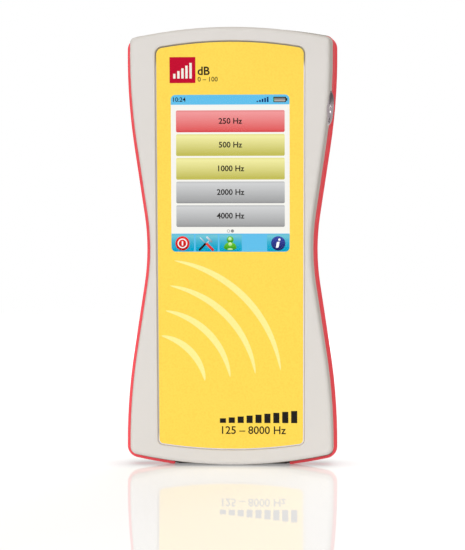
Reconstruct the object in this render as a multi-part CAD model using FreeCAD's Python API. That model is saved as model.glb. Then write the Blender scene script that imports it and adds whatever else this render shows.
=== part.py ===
"""Hand-held audiometer: an hourglass case with a touch display, a side power button and a battery door.

Millimetres, with +Z up the case, +X to the right of someone facing the display and -Y towards that person.
The origin is the centre of the overall box in X and Y, on the surface that the case stands on.
The front shell is a wedge: its face leans forward at the top, and the plane where the shells meet is upright.
"""

import FreeCAD
import Part

import math
import os

from FreeCAD import Placement, Rotation, Vector

# ---- case outline, seen from the front
case_height = 207.5
case_half_width = 48.4
waist_half_width = 39.0
waist_drop = 1.25  # of the waist below mid-height
widest_inset = 11.75  # from each end to the widest place, as seen from the waist
waist_radius = 111.0
side_straight = 32.4  # between the waist's arc and the shoulder's
top_radius = 247.0  # of the case's upper end at the seam
front_top_radius = 203.0  # of the same end where the sides' taper starts, in front of the face
bottom_radius = 213.0
corner_radius = 4.2
least_corner = 0.8

# ---- case depth
seam_y = -4.0  # back edge of the front shell
front_depth_top = 22.0
front_depth_bottom = 8.5
side_draft_deg = 5.0
front_spare = 6.0  # of the tapered block in front of the face, which is cut from it
seam_gap = 0.6
gasket_proud = 0.3
lower_back_y = 19.6
upper_back_y = 25.0
blend_gap = 11.6  # from the battery door up to where the back starts to rise
hump_drop = 77.5  # from the case's top end down to the full depth
wall = 2.4
front_wall = 3.4
front_edge_radius = 2.0
back_edge_radius = 6.0

# ---- red grips along the sides
grip_stand_off = 1.6
grip_bottom_stand_off = 1.75
grip_top_stand_off = 0.0
grip_rebate = 1.4
grip_depth = 8.6
grip_band_wall = 3.2  # the rear shell's wall, measured from the case outline, behind the grips
grip_edge_radius = 1.25
grip_bottom_end_x = 27.6
grip_top_end_x = 43.0
grip_end_slant = 0.8
grip_clearance = 0.05

# ---- printed overlay and display, on the leaning face
overlay_half_width = 34.7
overlay_low_half_width = 34.2
overlay_low = 7.9
overlay_drop = 8.1  # along the face, from the case's top end
overlay_top_radius = 190.0
overlay_bottom_radius = 220.0
overlay_top_corner = 3.4
overlay_bottom_corner = 2.4
overlay_thickness = 0.5
overlay_sink = 0.9
overlay_clearance = 0.35
pocket_lip_radius = 0.7
window_width = 55.5
window_height = 73.4
window_drop = 32.9  # along the face, from the case's top end
window_corner = 2.2
glass_thickness = 1.0
glass_side_margin = 5.2
glass_top_margin = 5.2
glass_bottom_margin = 9.0
glass_clearance = 0.25
lcd_side_margin = 3.0
lcd_top_margin = 3.0
lcd_bottom_margin = 6.6
lcd_thickness = 1.8
display_gasket_thickness = 0.2
display_gasket_width = 2.2
backlight_thickness = 3.2
bracket_sheet = 0.5
bracket_lip = 3.0
bracket_ear_length = 3.6
bracket_ear_half_height = 4.0
bracket_ear_inset = 17.0  # from the display window's ends to its brackets' ears
bracket_gap = 0.15
stake_radius = 0.6
stake_clearance = 0.1
stake_proud = 0.4

# ---- circuit boards
board_front_y = -6.4
board_thickness = 1.6
board_inset = 4.0
board_gap = 0.5  # between the main board and the bosses beside it
board_low = 5.2
board_drop = 20.0
post_radius = 2.5
board_screw_radius = 0.95
board_screw_head = 1.9
board_screw_head_height = 1.1
board_screw_length = 4.5
small_clearance = 0.06  # round a small screw in its post
board_screw_x = 26.0
upper_board_screw_x = 30.0
board_screw_inset = 3.5  # from the board's top edge
waist_board_screw_drop = 18.5
amplifier_half_width = 31.0
amplifier_drop = 63.5  # from the case's top end to the board's lower edge
amplifier_height = 34.0
spacer_height = 13.0
spacer_radius = 2.4
spacer_inset = 4.0
link_half_width = 12.0
link_half_height = 1.6
link_inset = 7.0
chip_height = 1.3
chip_pitch = 16.0
chip_halves = [(5.0, 5.0), (7.0, 7.0), (4.0, 6.0), (3.0, 4.0)]
chip_gap = 11.0  # from the amplifier board down to the middle of the chips behind the display
small_chip_halves = [(4.0, 2.6), (5.0, 3.0), (4.0, 3.0)]
small_chip_drop = 12.5  # of their middle below the waist
amplifier_chip_halves = [(5.0, 5.0), (3.5, 3.5), (4.0, 5.0)]
amplifier_chip_rise = 22.0
coin_cell_radius = 10.0
coin_cell_thickness = 3.2
coin_cell_x = -16.0
coin_cell_rise = 5.5  # above the waist
coin_holder_wall = 1.1
coin_holder_base = 0.6
shield_x = 14.0
shield_rise = 5.5
shield_half_width = 11.0
shield_half_height = 14.0
shield_depth = 2.6
shield_sheet = 0.3
ribbon_width = 20.0
ribbon_thickness = 0.3
ribbon_drop = 5.0
ribbon_plug_drop = 21.2  # below the display's window
ribbon_plug_half_height = 1.8
ribbon_plug_depth = 1.4

# ---- case screws and inserts
case_screw_inset = 7.4  # from the case's widest place
case_screw_drop = 13.0
case_screw_rise = 12.0
waist_screw_inset = 5.4
waist_screw_drop = 15.5
boss_radius = 3.8
screw_radius = 1.45
screw_clearance = 0.25
screw_head_radius = 2.9
screw_head_height = 1.9
screw_seat_y = 3.0
screw_length = 12.0
insert_radius = 2.2
insert_length = 5.0

# ---- battery compartment and door
cell_radius = 7.25
cell_length = 49.0
cell_nub_radius = 2.6
cell_nub_length = 1.5
cell_count = 4
cell_pitch = 14.8
cell_clearance = 0.3
contact_thickness = 0.4
contact_width = 9.0
contact_spring_reach = 1.2
contact_spring_radius = 3.0
compartment_floor_y = 2.0
compartment_wall = 1.4
compartment_low = 18.3
door_lip = 2.7  # door beyond the compartment at its sides
door_overlap = 6.4  # door beyond the compartment at its top and bottom, where its screws are
door_gap = 0.3
door_thickness = 2.2
door_corner = 4.0
door_ledge = 1.8
door_seal = 0.2
door_seal_inset = 0.7
door_screw_x = 22.0
door_screw_radius = 1.25
door_screw_head = 2.4
door_screw_head_height = 1.2
door_screw_length = 6.5
door_post_radius = 3.4
door_screw_clearance = 0.2

# ---- sockets on the top end
socket_pitch = 26.0
socket_y = 8.2
socket_bore = 5.6
socket_body_radius = 7.4
socket_flange_radius = 9.2
socket_flange = 1.2
socket_bore_length = 7.2
socket_depth = 19.0
socket_insert_radius = 5.0
socket_pin_circle = 2.7
socket_pin_radius = 0.5
socket_pin_count = 6
socket_thread_clearance = 0.1
socket_board_thickness = 1.6
socket_board_half_width = 35.0
socket_board_half_depth = 7.0
socket_link_half_width = 10.0
socket_link_depth = 3.0
socket_ring_height = 0.7
socket_ring_outer = 8.5
socket_ring_inner = 6.3
nut_across_corners = 18.4
nut_height = 2.4
panel_half_width = 38.0
panel_front_y = -1.4
panel_back_y = 18.0
panel_drop = 4.4
panel_thickness = 2.4
panel_collar = 1.6
panel_ledge = 1.4
panel_clearance = 0.2
panel_corner = 3.0

# ---- ports and feet on the bottom end
port_x = 9.0
port_y = 1.5
jack_bore = 2.9
jack_bore_length = 4.0
jack_inner_bore = 2.7
jack_pin_radius = 1.0
jack_pin_recess = 0.4  # below the mouth bore's end
jack_length = 11.5
jack_half_width = 4.5
jack_nose_radius = 3.9
data_half_width = 3.9
data_half_height = 1.9
data_shell = 0.35
data_length = 9.0
data_socket_depth = 6.5
data_tongue_half_height = 0.4
data_tongue_half_width = 2.6
port_gap = 0.3
port_mouth_z = 0.6
port_body_gap = 0.8  # between the shell's inside and the ports' bodies
bottom_foot_x = 20.0
bottom_foot_half_width = 4.5
bottom_foot_low_y = 0.5
bottom_foot_high_y = 15.0
bottom_foot_thickness = 1.9
back_foot_width = 4.0
back_foot_length = 14.0
back_foot_thickness = 1.6
back_foot_sink = 0.6
upper_foot_x = 18.0
upper_foot_drop = 16.5
lower_foot_x = 36.0
lower_foot_z = 25.0
foot_clearance = 0.05

# ---- loudspeaker
speaker_drop = 49.5
speaker_radius = 14.0
speaker_depth = 5.2
speaker_magnet_radius = 8.0
speaker_magnet_depth = 2.4
speaker_rim = 1.6
speaker_gasket = 0.8
speaker_cone_depth = 1.4
speaker_cone_sheet = 0.4
speaker_back_sheet = 1.0
speaker_clearance = 0.2
speaker_holder_wall = 1.4
speaker_holder_depth = 4.0
mesh_thickness = 0.3
grille_hole_radius = 0.9
grille_pitch = 3.2
grille_rings = 3

# ---- power button in its dish on the right side
button_drop = 38.6
button_y = -12.5
dish_floor_radius = 6.9
dish_depth = 2.7
dish_slope = 0.8  # growth of the dish's radius for each millimetre outwards
dish_floor_wall = 2.2
dish_boss_radius = 10.0
button_radius = 5.5
button_clearance = 0.25
button_stand = 1.1  # dome above the dish floor
button_rim = 0.5
button_flange_radius = 6.4
button_flange = 0.9
button_travel = 0.8
button_rest_gap = 0.1
stem_radius = 2.0
stem_length = 1.2
trim_thickness = 0.5
switch_depth = 5.7
switch_half = 3.7
plunger_radius = 1.5
plunger_proud = 0.9
plunger_length = 2.7
plunger_clearance = 0.08
plunger_gap = 0.05

reach = 400.0  # larger than the object, for cutting shapes
past = 1.0  # how far a cut or a join runs past a face
near = 0.1  # how closely edges are picked
least_flat = 0.1  # the straight left between two rounded corners

# ---- worked out from the sizes above
waist_z = case_height / 2 - waist_drop
widest_offset = case_height / 2 - widest_inset
shoulder_step = case_half_width - waist_half_width
shoulder_radius = (shoulder_step**2 + widest_offset**2 - side_straight**2) / (2 * shoulder_step) - waist_radius
front_box_y = seam_y - front_depth_top - front_spare
face_lean = math.atan((front_depth_top - front_depth_bottom) / case_height)
face_foot_y = seam_y - front_depth_bottom
face_place = Placement(Vector(0, face_foot_y, 0), Rotation(Vector(1, 0, 0), math.degrees(face_lean)))
rear_front_y = seam_y + seam_gap
board_back_y = board_front_y + board_thickness
board_high = case_height - board_drop
case_screw_points = [
    (case_half_width - case_screw_inset, case_height - case_screw_drop),
    (waist_half_width - waist_screw_inset, waist_z - waist_screw_drop),
    (case_half_width - case_screw_inset, case_screw_rise),
]
board_screw_points = [
    (board_screw_x, case_screw_rise),
    (board_screw_x, waist_z - waist_board_screw_drop),
    (upper_board_screw_x, board_high - board_screw_inset),
]
amplifier_low = case_height - amplifier_drop
link_z = amplifier_low + link_inset
coin_cell_z = waist_z + coin_cell_rise
shield_z = waist_z + shield_rise
pocket_depth = overlay_sink + overlay_thickness
lcd_front = pocket_depth + glass_thickness + display_gasket_thickness
lcd_back = lcd_front + lcd_thickness
backlight_back = lcd_back + backlight_thickness
window_high = case_height - window_drop
window_low = window_high - window_height
overlay_high = case_height - overlay_drop
ribbon_plug_z = window_low - ribbon_plug_drop
lcd_half_width = window_width / 2 + lcd_side_margin
compartment_half_width = cell_count * cell_pitch / 2 + cell_clearance
contact_room = contact_thickness + contact_spring_reach
compartment_high = compartment_low + cell_length + cell_nub_length + 2 * contact_room
door_low = compartment_low - door_overlap
door_high = compartment_high + door_overlap
door_half_width = compartment_half_width + door_lip
door_front_y = lower_back_y - door_thickness
ledge_y = door_front_y - door_seal
blend_low_z = door_high + blend_gap
blend_high_z = case_height - hump_drop
cell_y = compartment_floor_y + cell_clearance + cell_radius
panel_top_z = case_height - panel_drop
socket_top_z = panel_top_z + socket_flange
upper_foot_z = case_height - upper_foot_drop
speaker_z = case_height - speaker_drop
button_z = case_height - button_drop
grip_front_y = rear_front_y + grip_clearance
grip_back_y = grip_front_y + grip_depth


# ---- small helpers
def block(x_low, x_high, y_low, y_high, z_low, z_high):
    """A box between two corners."""
    return Part.makeBox(x_high - x_low, y_high - y_low, z_high - z_low, Vector(x_low, y_low, z_low))


def rod(radius, start, end):
    """A cylinder from one point to another."""
    start, end = Vector(*start), Vector(*end)
    return Part.makeCylinder(radius, (end - start).Length, start, end - start)


def rod_y(radius, x, z, front, back):
    """A round rod along Y."""
    return rod(radius, (x, front, z), (x, back, z))


def rod_z(radius, x, y, low, high):
    """A round rod along Z."""
    return rod(radius, (x, y, low), (x, y, high))


def cone(radius_start, radius_end, start, end):
    """A truncated cone from one point to another."""
    start, end = Vector(*start), Vector(*end)
    return Part.makeCone(radius_start, radius_end, (end - start).Length, start, end - start)


def tube(outer, inner, start, end):
    """A hollow cylinder."""
    return rod(outer, start, end).cut(rod(inner, start, end))


def group(shapes):
    """Separate solids that share one node."""
    return Part.makeCompound([solid for shape in shapes for solid in shape.Solids])


def fuse(shapes):
    """One solid from several that touch or overlap."""
    return shapes[0].multiFuse(shapes[1:]).removeSplitter()


def on_face(shape):
    """Carries a shape from the face's own upright frame, where Y is the depth below the face, to the case."""
    moved = shape.copy()
    moved.Placement = face_place.multiply(moved.Placement)
    return moved


def mirrored(points):
    """The points on the right side and their twins on the left."""
    return [(side * x, z) for x, z in points for side in (1, -1)]


def face_y(z, depth=0.0):
    """Y at height z of the plane that lies a depth below the leaning face."""
    return face_foot_y - z * math.tan(face_lean) + depth / math.cos(face_lean)


def rounded_block(x_low, x_high, y_low, y_high, z_low, z_high, radius):
    """A box whose four edges along Y are rounded."""
    solid = block(x_low, x_high, y_low, y_high, z_low, z_high)
    return round_edges(solid, radius, lambda edge: runs_along(edge, Vector(0, 1, 0)))


def runs_along(edge, direction):
    """Whether a straight edge lies along a direction."""
    if not isinstance(edge.Curve, Part.Line):
        return False
    return abs(abs(edge.Curve.Direction.dot(direction)) - 1) < 1e-6


def round_edges(solid, radius, chosen):
    """Rounds the edges that a test picks."""
    return solid.makeFillet(radius, [edge for edge in solid.Edges if chosen(edge)])


def hexagon(across_corners, x, y, z_low, height):
    """A hexagonal prism that stands along Z."""
    reach_out, turn = across_corners / 2, math.pi / 3
    points = [
        Vector(x + reach_out * math.cos(k * turn), y + reach_out * math.sin(k * turn), z_low)
        for k in range(7)
    ]
    return Part.Face(Part.makePolygon(points)).extrude(Vector(0, 0, height))


# ---- the hourglass outline
def tangent_angle():
    """Angle from upright of the straight stretch between a waist arc and a shoulder arc."""
    radii = waist_radius + shoulder_radius
    across = radii - (case_half_width - waist_half_width)
    return math.atan2(widest_offset, across) - math.acos(radii / math.hypot(across, widest_offset))


def circles_meet(centre_a, radius_a, centre_b, radius_b):
    """The point right of the centres' line, as far out in X as possible, that both circles share."""
    (ax, az), (bx, bz) = centre_a, centre_b
    gap = math.hypot(bx - ax, bz - az)
    along = (radius_a**2 - radius_b**2 + gap**2) / (2 * gap)
    aside = math.sqrt(radius_a**2 - along**2)
    ux, uz = (bx - ax) / gap, (bz - az) / gap
    both = [(ax + along * ux - s * aside * uz, az + along * uz + s * aside * ux) for s in (1, -1)]
    return max(both)


def towards(centre, radius, point):
    """The point of a circle that lies in the direction of another point."""
    dx, dz = point[0] - centre[0], point[1] - centre[1]
    length = math.hypot(dx, dz)
    return (centre[0] + radius * dx / length, centre[1] + radius * dz / length)


def outline_wire(inset, y, top=top_radius, bottom_inset=None, top_inset=None):
    """The case outline in a plane across Y, moved inwards by inset, or outwards where inset is negative.

    Its two ends may be moved by insets of their own.
    """
    bottom_inset = inset if bottom_inset is None else bottom_inset
    top_inset = inset if top_inset is None else top_inset
    angle = tangent_angle()
    shoulder, waist = shoulder_radius - inset, waist_radius + inset
    turn = max(corner_radius - inset, least_corner)
    waist_centre = (waist_half_width + waist_radius, waist_z)
    half = {}
    for name, sign, end_centre, end_radius in (
        ("low", -1, (0.0, bottom_radius), bottom_radius - bottom_inset),
        ("high", 1, (0.0, case_height - top), top - top_inset),
    ):
        centre = (case_half_width - shoulder_radius, waist_z + sign * widest_offset)
        knuckle = circles_meet(centre, shoulder - turn, end_centre, end_radius - turn)
        on_end, on_side = towards(end_centre, end_radius, knuckle), towards(centre, shoulder, knuckle)
        side_end = (centre[0] + shoulder * math.cos(angle), centre[1] - sign * shoulder * math.sin(angle))
        waist_end = (waist_centre[0] - waist * math.cos(angle), waist_z + sign * waist * math.sin(angle))
        turn_middle = towards(knuckle, turn, ((on_end[0] + on_side[0]) / 2, (on_end[1] + on_side[1]) / 2))
        between = ((on_side[0] + side_end[0]) / 2, (on_side[1] + side_end[1]) / 2)
        side_middle = towards(centre, shoulder, between)
        half[name] = (on_end, turn_middle, on_side, side_middle, side_end, waist_end)

    def side(sign):
        low, high = (
            [Vector(sign * x, y, z) for x, z in half[name]] for name in ("low", "high")
        )
        waist_middle = Vector(sign * (waist_centre[0] - waist), y, waist_z)
        return [
            Part.Arc(low[0], low[1], low[2]),
            Part.Arc(low[2], low[3], low[4]),
            Part.LineSegment(low[4], low[5]),
            Part.Arc(low[5], waist_middle, high[5]),
            Part.LineSegment(high[5], high[4]),
            Part.Arc(high[4], high[3], high[2]),
            Part.Arc(high[2], high[1], high[0]),
        ]

    top = Part.Arc(
        Vector(half["high"][0][0], y, half["high"][0][1]),
        Vector(0, y, case_height - top_inset),
        Vector(-half["high"][0][0], y, half["high"][0][1]),
    )
    bottom = Part.Arc(
        Vector(-half["low"][0][0], y, half["low"][0][1]),
        Vector(0, y, bottom_inset),
        Vector(half["low"][0][0], y, half["low"][0][1]),
    )
    curves = side(1) + [top] + list(reversed(side(-1))) + [bottom]
    return Part.Wire(Part.__sortEdges__([curve.toShape() for curve in curves]))


def outline_prism(inset, y_low, y_high):
    """The case outline as a solid between two planes across Y."""
    return Part.Face(outline_wire(inset, y_low)).extrude(Vector(0, y_high - y_low, 0))


def side_half_width(z, inset=0.0):
    """Half the width of the case outline at height z, between the corners."""
    angle = tangent_angle()
    height = abs(z - waist_z)
    if height <= waist_radius * math.sin(angle):
        return waist_half_width + waist_radius - math.sqrt(waist_radius**2 - height**2) - inset
    if height >= widest_offset - shoulder_radius * math.sin(angle):
        away = widest_offset - height
        return case_half_width - shoulder_radius + math.sqrt(shoulder_radius**2 - away**2) - inset
    start = waist_half_width + waist_radius * (1 - math.cos(angle))
    return start + (height - waist_radius * math.sin(angle)) * math.tan(angle) - inset


# ---- shapes that several pieces share
def front_form(inset, depth):
    """The wedge behind the leaning face, from a depth below the face to the seam, its sides moved inwards."""
    taper = (seam_y - front_box_y) * math.tan(math.radians(side_draft_deg))
    wires = [outline_wire(inset, seam_y), outline_wire(inset + taper, front_box_y, front_top_radius)]
    wedge = Part.makeLoft(wires, True, True)
    return wedge.common(on_face(block(-reach, reach, depth, reach, -reach, reach)))


def symmetrical(solid):
    """A solid made again from its left half and that half's mirror image."""
    left = solid.common(block(-reach, 0, -reach, reach, -reach, reach))
    return left.fuse(left.mirror(Vector(0, 0, 0), Vector(1, 0, 0))).removeSplitter()


def on_face_plane(edge):
    """Whether an edge lies in the plane of the leaning face."""
    normal = Vector(0, math.cos(face_lean), math.sin(face_lean))
    foot = Vector(0, face_foot_y, 0)
    points = edge.discretize(3)
    return all(abs((point - foot).dot(normal)) < 1e-4 for point in points)


def back_profile(inset):
    """Everything in front of the back's line, seen from the side: low, then an S-bend up to the hump."""
    low, high = lower_back_y - inset, upper_back_y - inset
    rise, run = high - low, blend_high_z - blend_low_z
    radius = (rise**2 + run**2) / (4 * rise)
    turn = math.asin(run / 2 / radius)
    middle = Vector(-reach, (low + high) / 2, (blend_low_z + blend_high_z) / 2)
    sag, chord = radius * (1 - math.cos(turn / 2)), radius * math.sin(turn / 2)
    start, end = Vector(-reach, low, blend_low_z), Vector(-reach, high, blend_high_z)
    foot, head = Vector(-reach, low, -reach), Vector(-reach, high, reach)
    far_head, far_foot = Vector(-reach, -reach, reach), Vector(-reach, -reach, -reach)
    curves = [
        Part.LineSegment(foot, start),
        Part.Arc(start, Vector(-reach, low + sag, blend_low_z + chord), middle),
        Part.Arc(middle, Vector(-reach, high - sag, blend_high_z - chord), end),
        Part.LineSegment(end, head),
        Part.LineSegment(head, far_head),
        Part.LineSegment(far_head, far_foot),
        Part.LineSegment(far_foot, foot),
    ]
    wire = Part.Wire([curve.toShape() for curve in curves])
    return Part.Face(wire).extrude(Vector(2 * reach, 0, 0))


def rear_form(inset, back_inset):
    """The space of the rear half, its sides and its back moved inwards."""
    return outline_prism(inset, rear_front_y, upper_back_y + wall).common(back_profile(back_inset))


def rounded_rear_form():
    """The outside of the rear shell, with the edge round its back rounded."""
    form = rear_form(0, 0)
    sides = outline_wire(0, rear_front_y).extrude(Vector(0, reach, 0))

    def round_the_back(edge):
        middle = edge.discretize(3)[1]
        if middle.y < rear_front_y + past or runs_along(edge, Vector(0, 1, 0)):
            return False
        return Part.Vertex(middle).distToShape(sides)[0] < 1e-4

    return round_edges(form, back_edge_radius, round_the_back)


def overlay_prism(grow, depth_low, depth_high):
    """The outline of the printed overlay, made larger all round, between two depths."""
    half, low_half = overlay_half_width + grow, overlay_low_half_width + grow
    high, high_radius = overlay_high + grow, overlay_top_radius + grow
    low, low_radius = overlay_low - grow, overlay_bottom_radius + grow
    high_side = high - high_radius + math.sqrt(high_radius**2 - half**2)
    low_side = low + low_radius - math.sqrt(low_radius**2 - low_half**2)
    low_left, low_right = Vector(-low_half, depth_low, low_side), Vector(low_half, depth_low, low_side)
    high_left, high_right = Vector(-half, depth_low, high_side), Vector(half, depth_low, high_side)
    curves = [
        Part.Arc(low_left, Vector(0, depth_low, low), low_right),
        Part.LineSegment(low_right, high_right),
        Part.Arc(high_right, Vector(0, depth_low, high), high_left),
        Part.LineSegment(high_left, low_left),
    ]
    face = Part.Face(Part.Wire([curve.toShape() for curve in curves]))
    solid = face.extrude(Vector(0, depth_high - depth_low, 0))
    for sign, corner in ((1, overlay_top_corner), (-1, overlay_bottom_corner)):
        solid = round_edges(
            solid,
            corner + grow,
            lambda edge: runs_along(edge, Vector(0, 1, 0)) and sign * (edge.CenterOfMass.z - waist_z) > 0,
        )
    return solid


def display_block(side, bottom, top, depth_low, depth_high, corner=0.0):
    """A plate round the display window, with its own margin at the sides, the bottom and the top."""
    ends = (
        -window_width / 2 - side,
        window_width / 2 + side,
        depth_low,
        depth_high,
        window_low - bottom,
        window_high + top,
    )
    return rounded_block(*ends, corner) if corner else block(*ends)


def screw(radius, head_radius, head_height, length, seat, direction, drive=0.5):
    """A cap screw whose head sits on a seat and whose shank runs along a direction."""
    seat, direction = Vector(*seat), Vector(*direction)
    crown = seat - direction * head_height
    head = Part.makeCylinder(head_radius, head_height, crown, direction)
    shank = Part.makeCylinder(radius, length, seat, direction)
    recess = Part.makeCylinder(head_radius * drive, head_height * drive, crown, direction)
    return fuse([head, shank]).cut(recess)


# ---- side grips
def grip_region(side, grow):
    """The part of the band that one grip fills, with a slanted end at the top and at the bottom."""
    low, high, slant = grip_bottom_end_x - grow, grip_top_end_x - grow, grip_end_slant
    margin = 2 * grip_stand_off + grip_rebate
    corners = [
        (low + slant, -margin),
        (low - slant, margin),
        (high - slant, case_height - 2 * margin),
        (high + slant, case_height + margin),
        (reach, case_height + margin),
        (reach, -margin),
        (low + slant, -margin),
    ]
    face = Part.Face(Part.makePolygon([Vector(side * x, rear_front_y - past, z) for x, z in corners]))
    return face.extrude(Vector(0, reach, 0))


def grip(side):
    """A soft bead that stands proud of the case all along one side."""
    wire = outline_wire(-grip_stand_off, grip_front_y, top_radius, -grip_bottom_stand_off, -grip_top_stand_off)
    band = round_edges(
        Part.Face(wire).extrude(Vector(0, grip_depth, 0)),
        grip_edge_radius,
        lambda edge: not runs_along(edge, Vector(0, 1, 0)),
    )
    band = band.cut(outline_prism(grip_rebate, grip_front_y - past, grip_back_y + past))
    return band.common(grip_region(side, 0))


def grip_seat(side):
    """The rebate in the rear shell for one grip."""
    band = outline_prism(-2 * grip_stand_off, rear_front_y - past, grip_back_y + grip_clearance)
    band = band.cut(outline_prism(grip_rebate + grip_clearance, rear_front_y - 2 * past, grip_back_y + past))
    return band.common(grip_region(side, grip_clearance))


# ---- power button and its dish
def side_wall_x(y, z):
    """Where the front shell's side wall lies, at a place on it."""
    return side_half_width(z) - (seam_y - y) * math.tan(math.radians(side_draft_deg))


dish_floor_x = side_wall_x(button_y, button_z) - dish_depth
dish_inner_x = dish_floor_x - dish_floor_wall
trim_face_x = dish_floor_x + trim_thickness
flange_x = dish_inner_x - button_rest_gap
stem_x = flange_x - button_flange - stem_length
switch_x = stem_x - plunger_gap - plunger_proud


def button_rod(radius, x_low, x_high):
    """A cylinder on the button's axis."""
    return rod(radius, (x_low, button_y, button_z), (x_high, button_y, button_z))


def dish_cone(inwards, x_low):
    """The dish's flaring space, from a place on its axis out past the side grip."""
    x_high = case_half_width + 2 * grip_stand_off
    low, high = (dish_floor_radius - inwards + (x - dish_floor_x) * dish_slope for x in (x_low, x_high))
    corners = [(x_low, 0), (x_high, 0), (x_high, high), (x_low, low), (x_low, 0)]
    half = Part.Face(Part.makePolygon([Vector(x, button_y, button_z + rise) for x, rise in corners]))
    return half.revolve(Vector(0, button_y, button_z), Vector(1, 0, 0), 360)


def power_button():
    """A domed metal button with a flange that keeps it in the case and a stem that presses the switch."""
    rise = button_stand - button_rim
    dome_radius = (button_radius**2 + rise**2) / (2 * rise)
    rim_x = trim_face_x + button_rim
    dome = Part.makeSphere(dome_radius, Vector(rim_x + rise - dome_radius, button_y, button_z))
    body = button_rod(button_radius, flange_x - button_flange, rim_x + rise).common(
        fuse([button_rod(button_radius, flange_x - button_flange, trim_face_x), dome])
    )
    flange = button_rod(button_flange_radius, flange_x - button_flange, flange_x)
    return fuse([body, flange, button_rod(stem_radius, stem_x, flange_x)])


def button_trim():
    """The metal lining of the dish, flush with the side wall, with a hole for the button."""
    lining = dish_cone(0, dish_floor_x).cut(dish_cone(trim_thickness, trim_face_x))
    hole = button_rod(button_radius + button_clearance, dish_inner_x, trim_face_x + past)
    return lining.common(front_form(0, 0)).cut(hole)


def switch_body():
    """The push switch that stands on the main board behind the button."""
    body = block(
        switch_x - switch_depth,
        switch_x,
        button_y - switch_half,
        board_front_y,
        button_z - switch_half,
        button_z + switch_half,
    )
    bore_depth = plunger_length - plunger_proud + button_travel + button_rest_gap
    return body.cut(button_rod(plunger_radius + plunger_clearance, switch_x - bore_depth, switch_x + past))


def switch_plunger():
    """The switch's own plunger, which the button's stem pushes."""
    tip_x = switch_x + plunger_proud
    return button_rod(plunger_radius, tip_x - plunger_length, tip_x)


# ---- display stack, on the leaning face
def ear_centres():
    """Heights of the display brackets' ears along the face."""
    return (window_low + bracket_ear_inset, window_high - bracket_ear_inset)


bracket_x = lcd_half_width + bracket_gap
ear_end_x = bracket_x + bracket_sheet + bracket_ear_length
stake_x = (window_width / 2 + glass_side_margin + glass_clearance + ear_end_x) / 2


def touch_glass():
    """The clear touch panel under the overlay."""
    return on_face(
        display_block(
            glass_side_margin,
            glass_bottom_margin,
            glass_top_margin,
            pocket_depth,
            pocket_depth + glass_thickness,
            window_corner,
        )
    )


def front_overlay():
    """The printed sheet that fills the pocket, with a window over the display."""
    sheet = overlay_prism(0, overlay_sink, pocket_depth)
    window = display_block(0, 0, 0, overlay_sink - past, pocket_depth + past, window_corner)
    return on_face(sheet.cut(window))


def display_gasket():
    """A foam frame between the touch panel and the display."""
    depths = (pocket_depth + glass_thickness, lcd_front)
    inner = lcd_side_margin - display_gasket_width
    frame = display_block(lcd_side_margin, inner + display_gasket_width, lcd_top_margin, *depths)
    hole = display_block(inner, inner, inner, depths[0] - past, depths[1] + past)
    return on_face(frame.cut(hole))


def lcd_panel():
    """The display panel."""
    return on_face(display_block(lcd_side_margin, lcd_bottom_margin, lcd_top_margin, lcd_front, lcd_back))


def backlight():
    """The display's backlight tray."""
    return on_face(display_block(lcd_side_margin, lcd_bottom_margin, lcd_top_margin, lcd_back, backlight_back))


def display_bracket(side):
    """A sheet-metal rail that holds one edge of the display to the front shell."""
    back = backlight_back + bracket_sheet
    plate = block(bracket_x, bracket_x + bracket_sheet, front_wall, back, window_low, window_high)
    lip_x, plate_x = lcd_half_width - bracket_lip, bracket_x + bracket_sheet
    lip = block(lip_x, plate_x, backlight_back, back, window_low, window_high)
    rail = [plate, lip]
    for z in ear_centres():
        low, high = z - bracket_ear_half_height, z + bracket_ear_half_height
        rail.append(block(bracket_x, ear_end_x, front_wall, front_wall + bracket_sheet, low, high))
    solid = fuse(rail)
    for z in ear_centres():
        solid = solid.cut(rod_y(stake_radius + stake_clearance, stake_x, z, 0, reach))
    if side < 0:
        solid = solid.mirror(Vector(0, 0, 0), Vector(1, 0, 0))
    return on_face(solid)


def ribbon(points, width, thickness, x=0.0):
    """A flat flex along runs in a plane across X, rounded at its folds."""
    pieces = []
    for (y1, z1), (y2, z2) in zip(points, points[1:]):
        length = math.hypot(y2 - y1, z2 - z1)
        slab = Part.makeBox(width, thickness, length, Vector(-width / 2, -thickness / 2, 0))
        tilt = math.degrees(math.atan2(-(y2 - y1), z2 - z1))
        slab.Placement = Placement(Vector(x, y1, z1), Rotation(Vector(1, 0, 0), tilt))
        pieces.append(slab)
    for y, z in points[1:-1]:
        pieces.append(rod(thickness / 2, (x - width / 2, y, z), (x + width / 2, y, z)))
    return fuse(pieces)


def lcd_ribbon():
    """The flex from the display's lower edge to its plug on the main board."""
    edge = window_low - lcd_bottom_margin
    depth = (lcd_back + backlight_back) / 2
    top = on_face(Part.Vertex(0, depth, edge)).Point
    turn = on_face(Part.Vertex(0, depth, edge - ribbon_drop)).Point
    plug_y = board_front_y - ribbon_plug_depth + ribbon_thickness / 2
    plug_top = ribbon_plug_z + ribbon_plug_half_height
    points = [
        (top.y, top.z),
        (turn.y, turn.z),
        (plug_y, plug_top + ribbon_drop / 2),
        (plug_y, plug_top),
    ]
    return ribbon(points, ribbon_width, ribbon_thickness)


def ribbon_plug():
    """The low connector on the main board that takes the display's flex."""
    half = ribbon_width / 2 + ribbon_plug_depth
    low, high = ribbon_plug_z - ribbon_plug_half_height, ribbon_plug_z + ribbon_plug_half_height
    return block(-half, half, board_front_y - ribbon_plug_depth, board_front_y, low, high)


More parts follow.
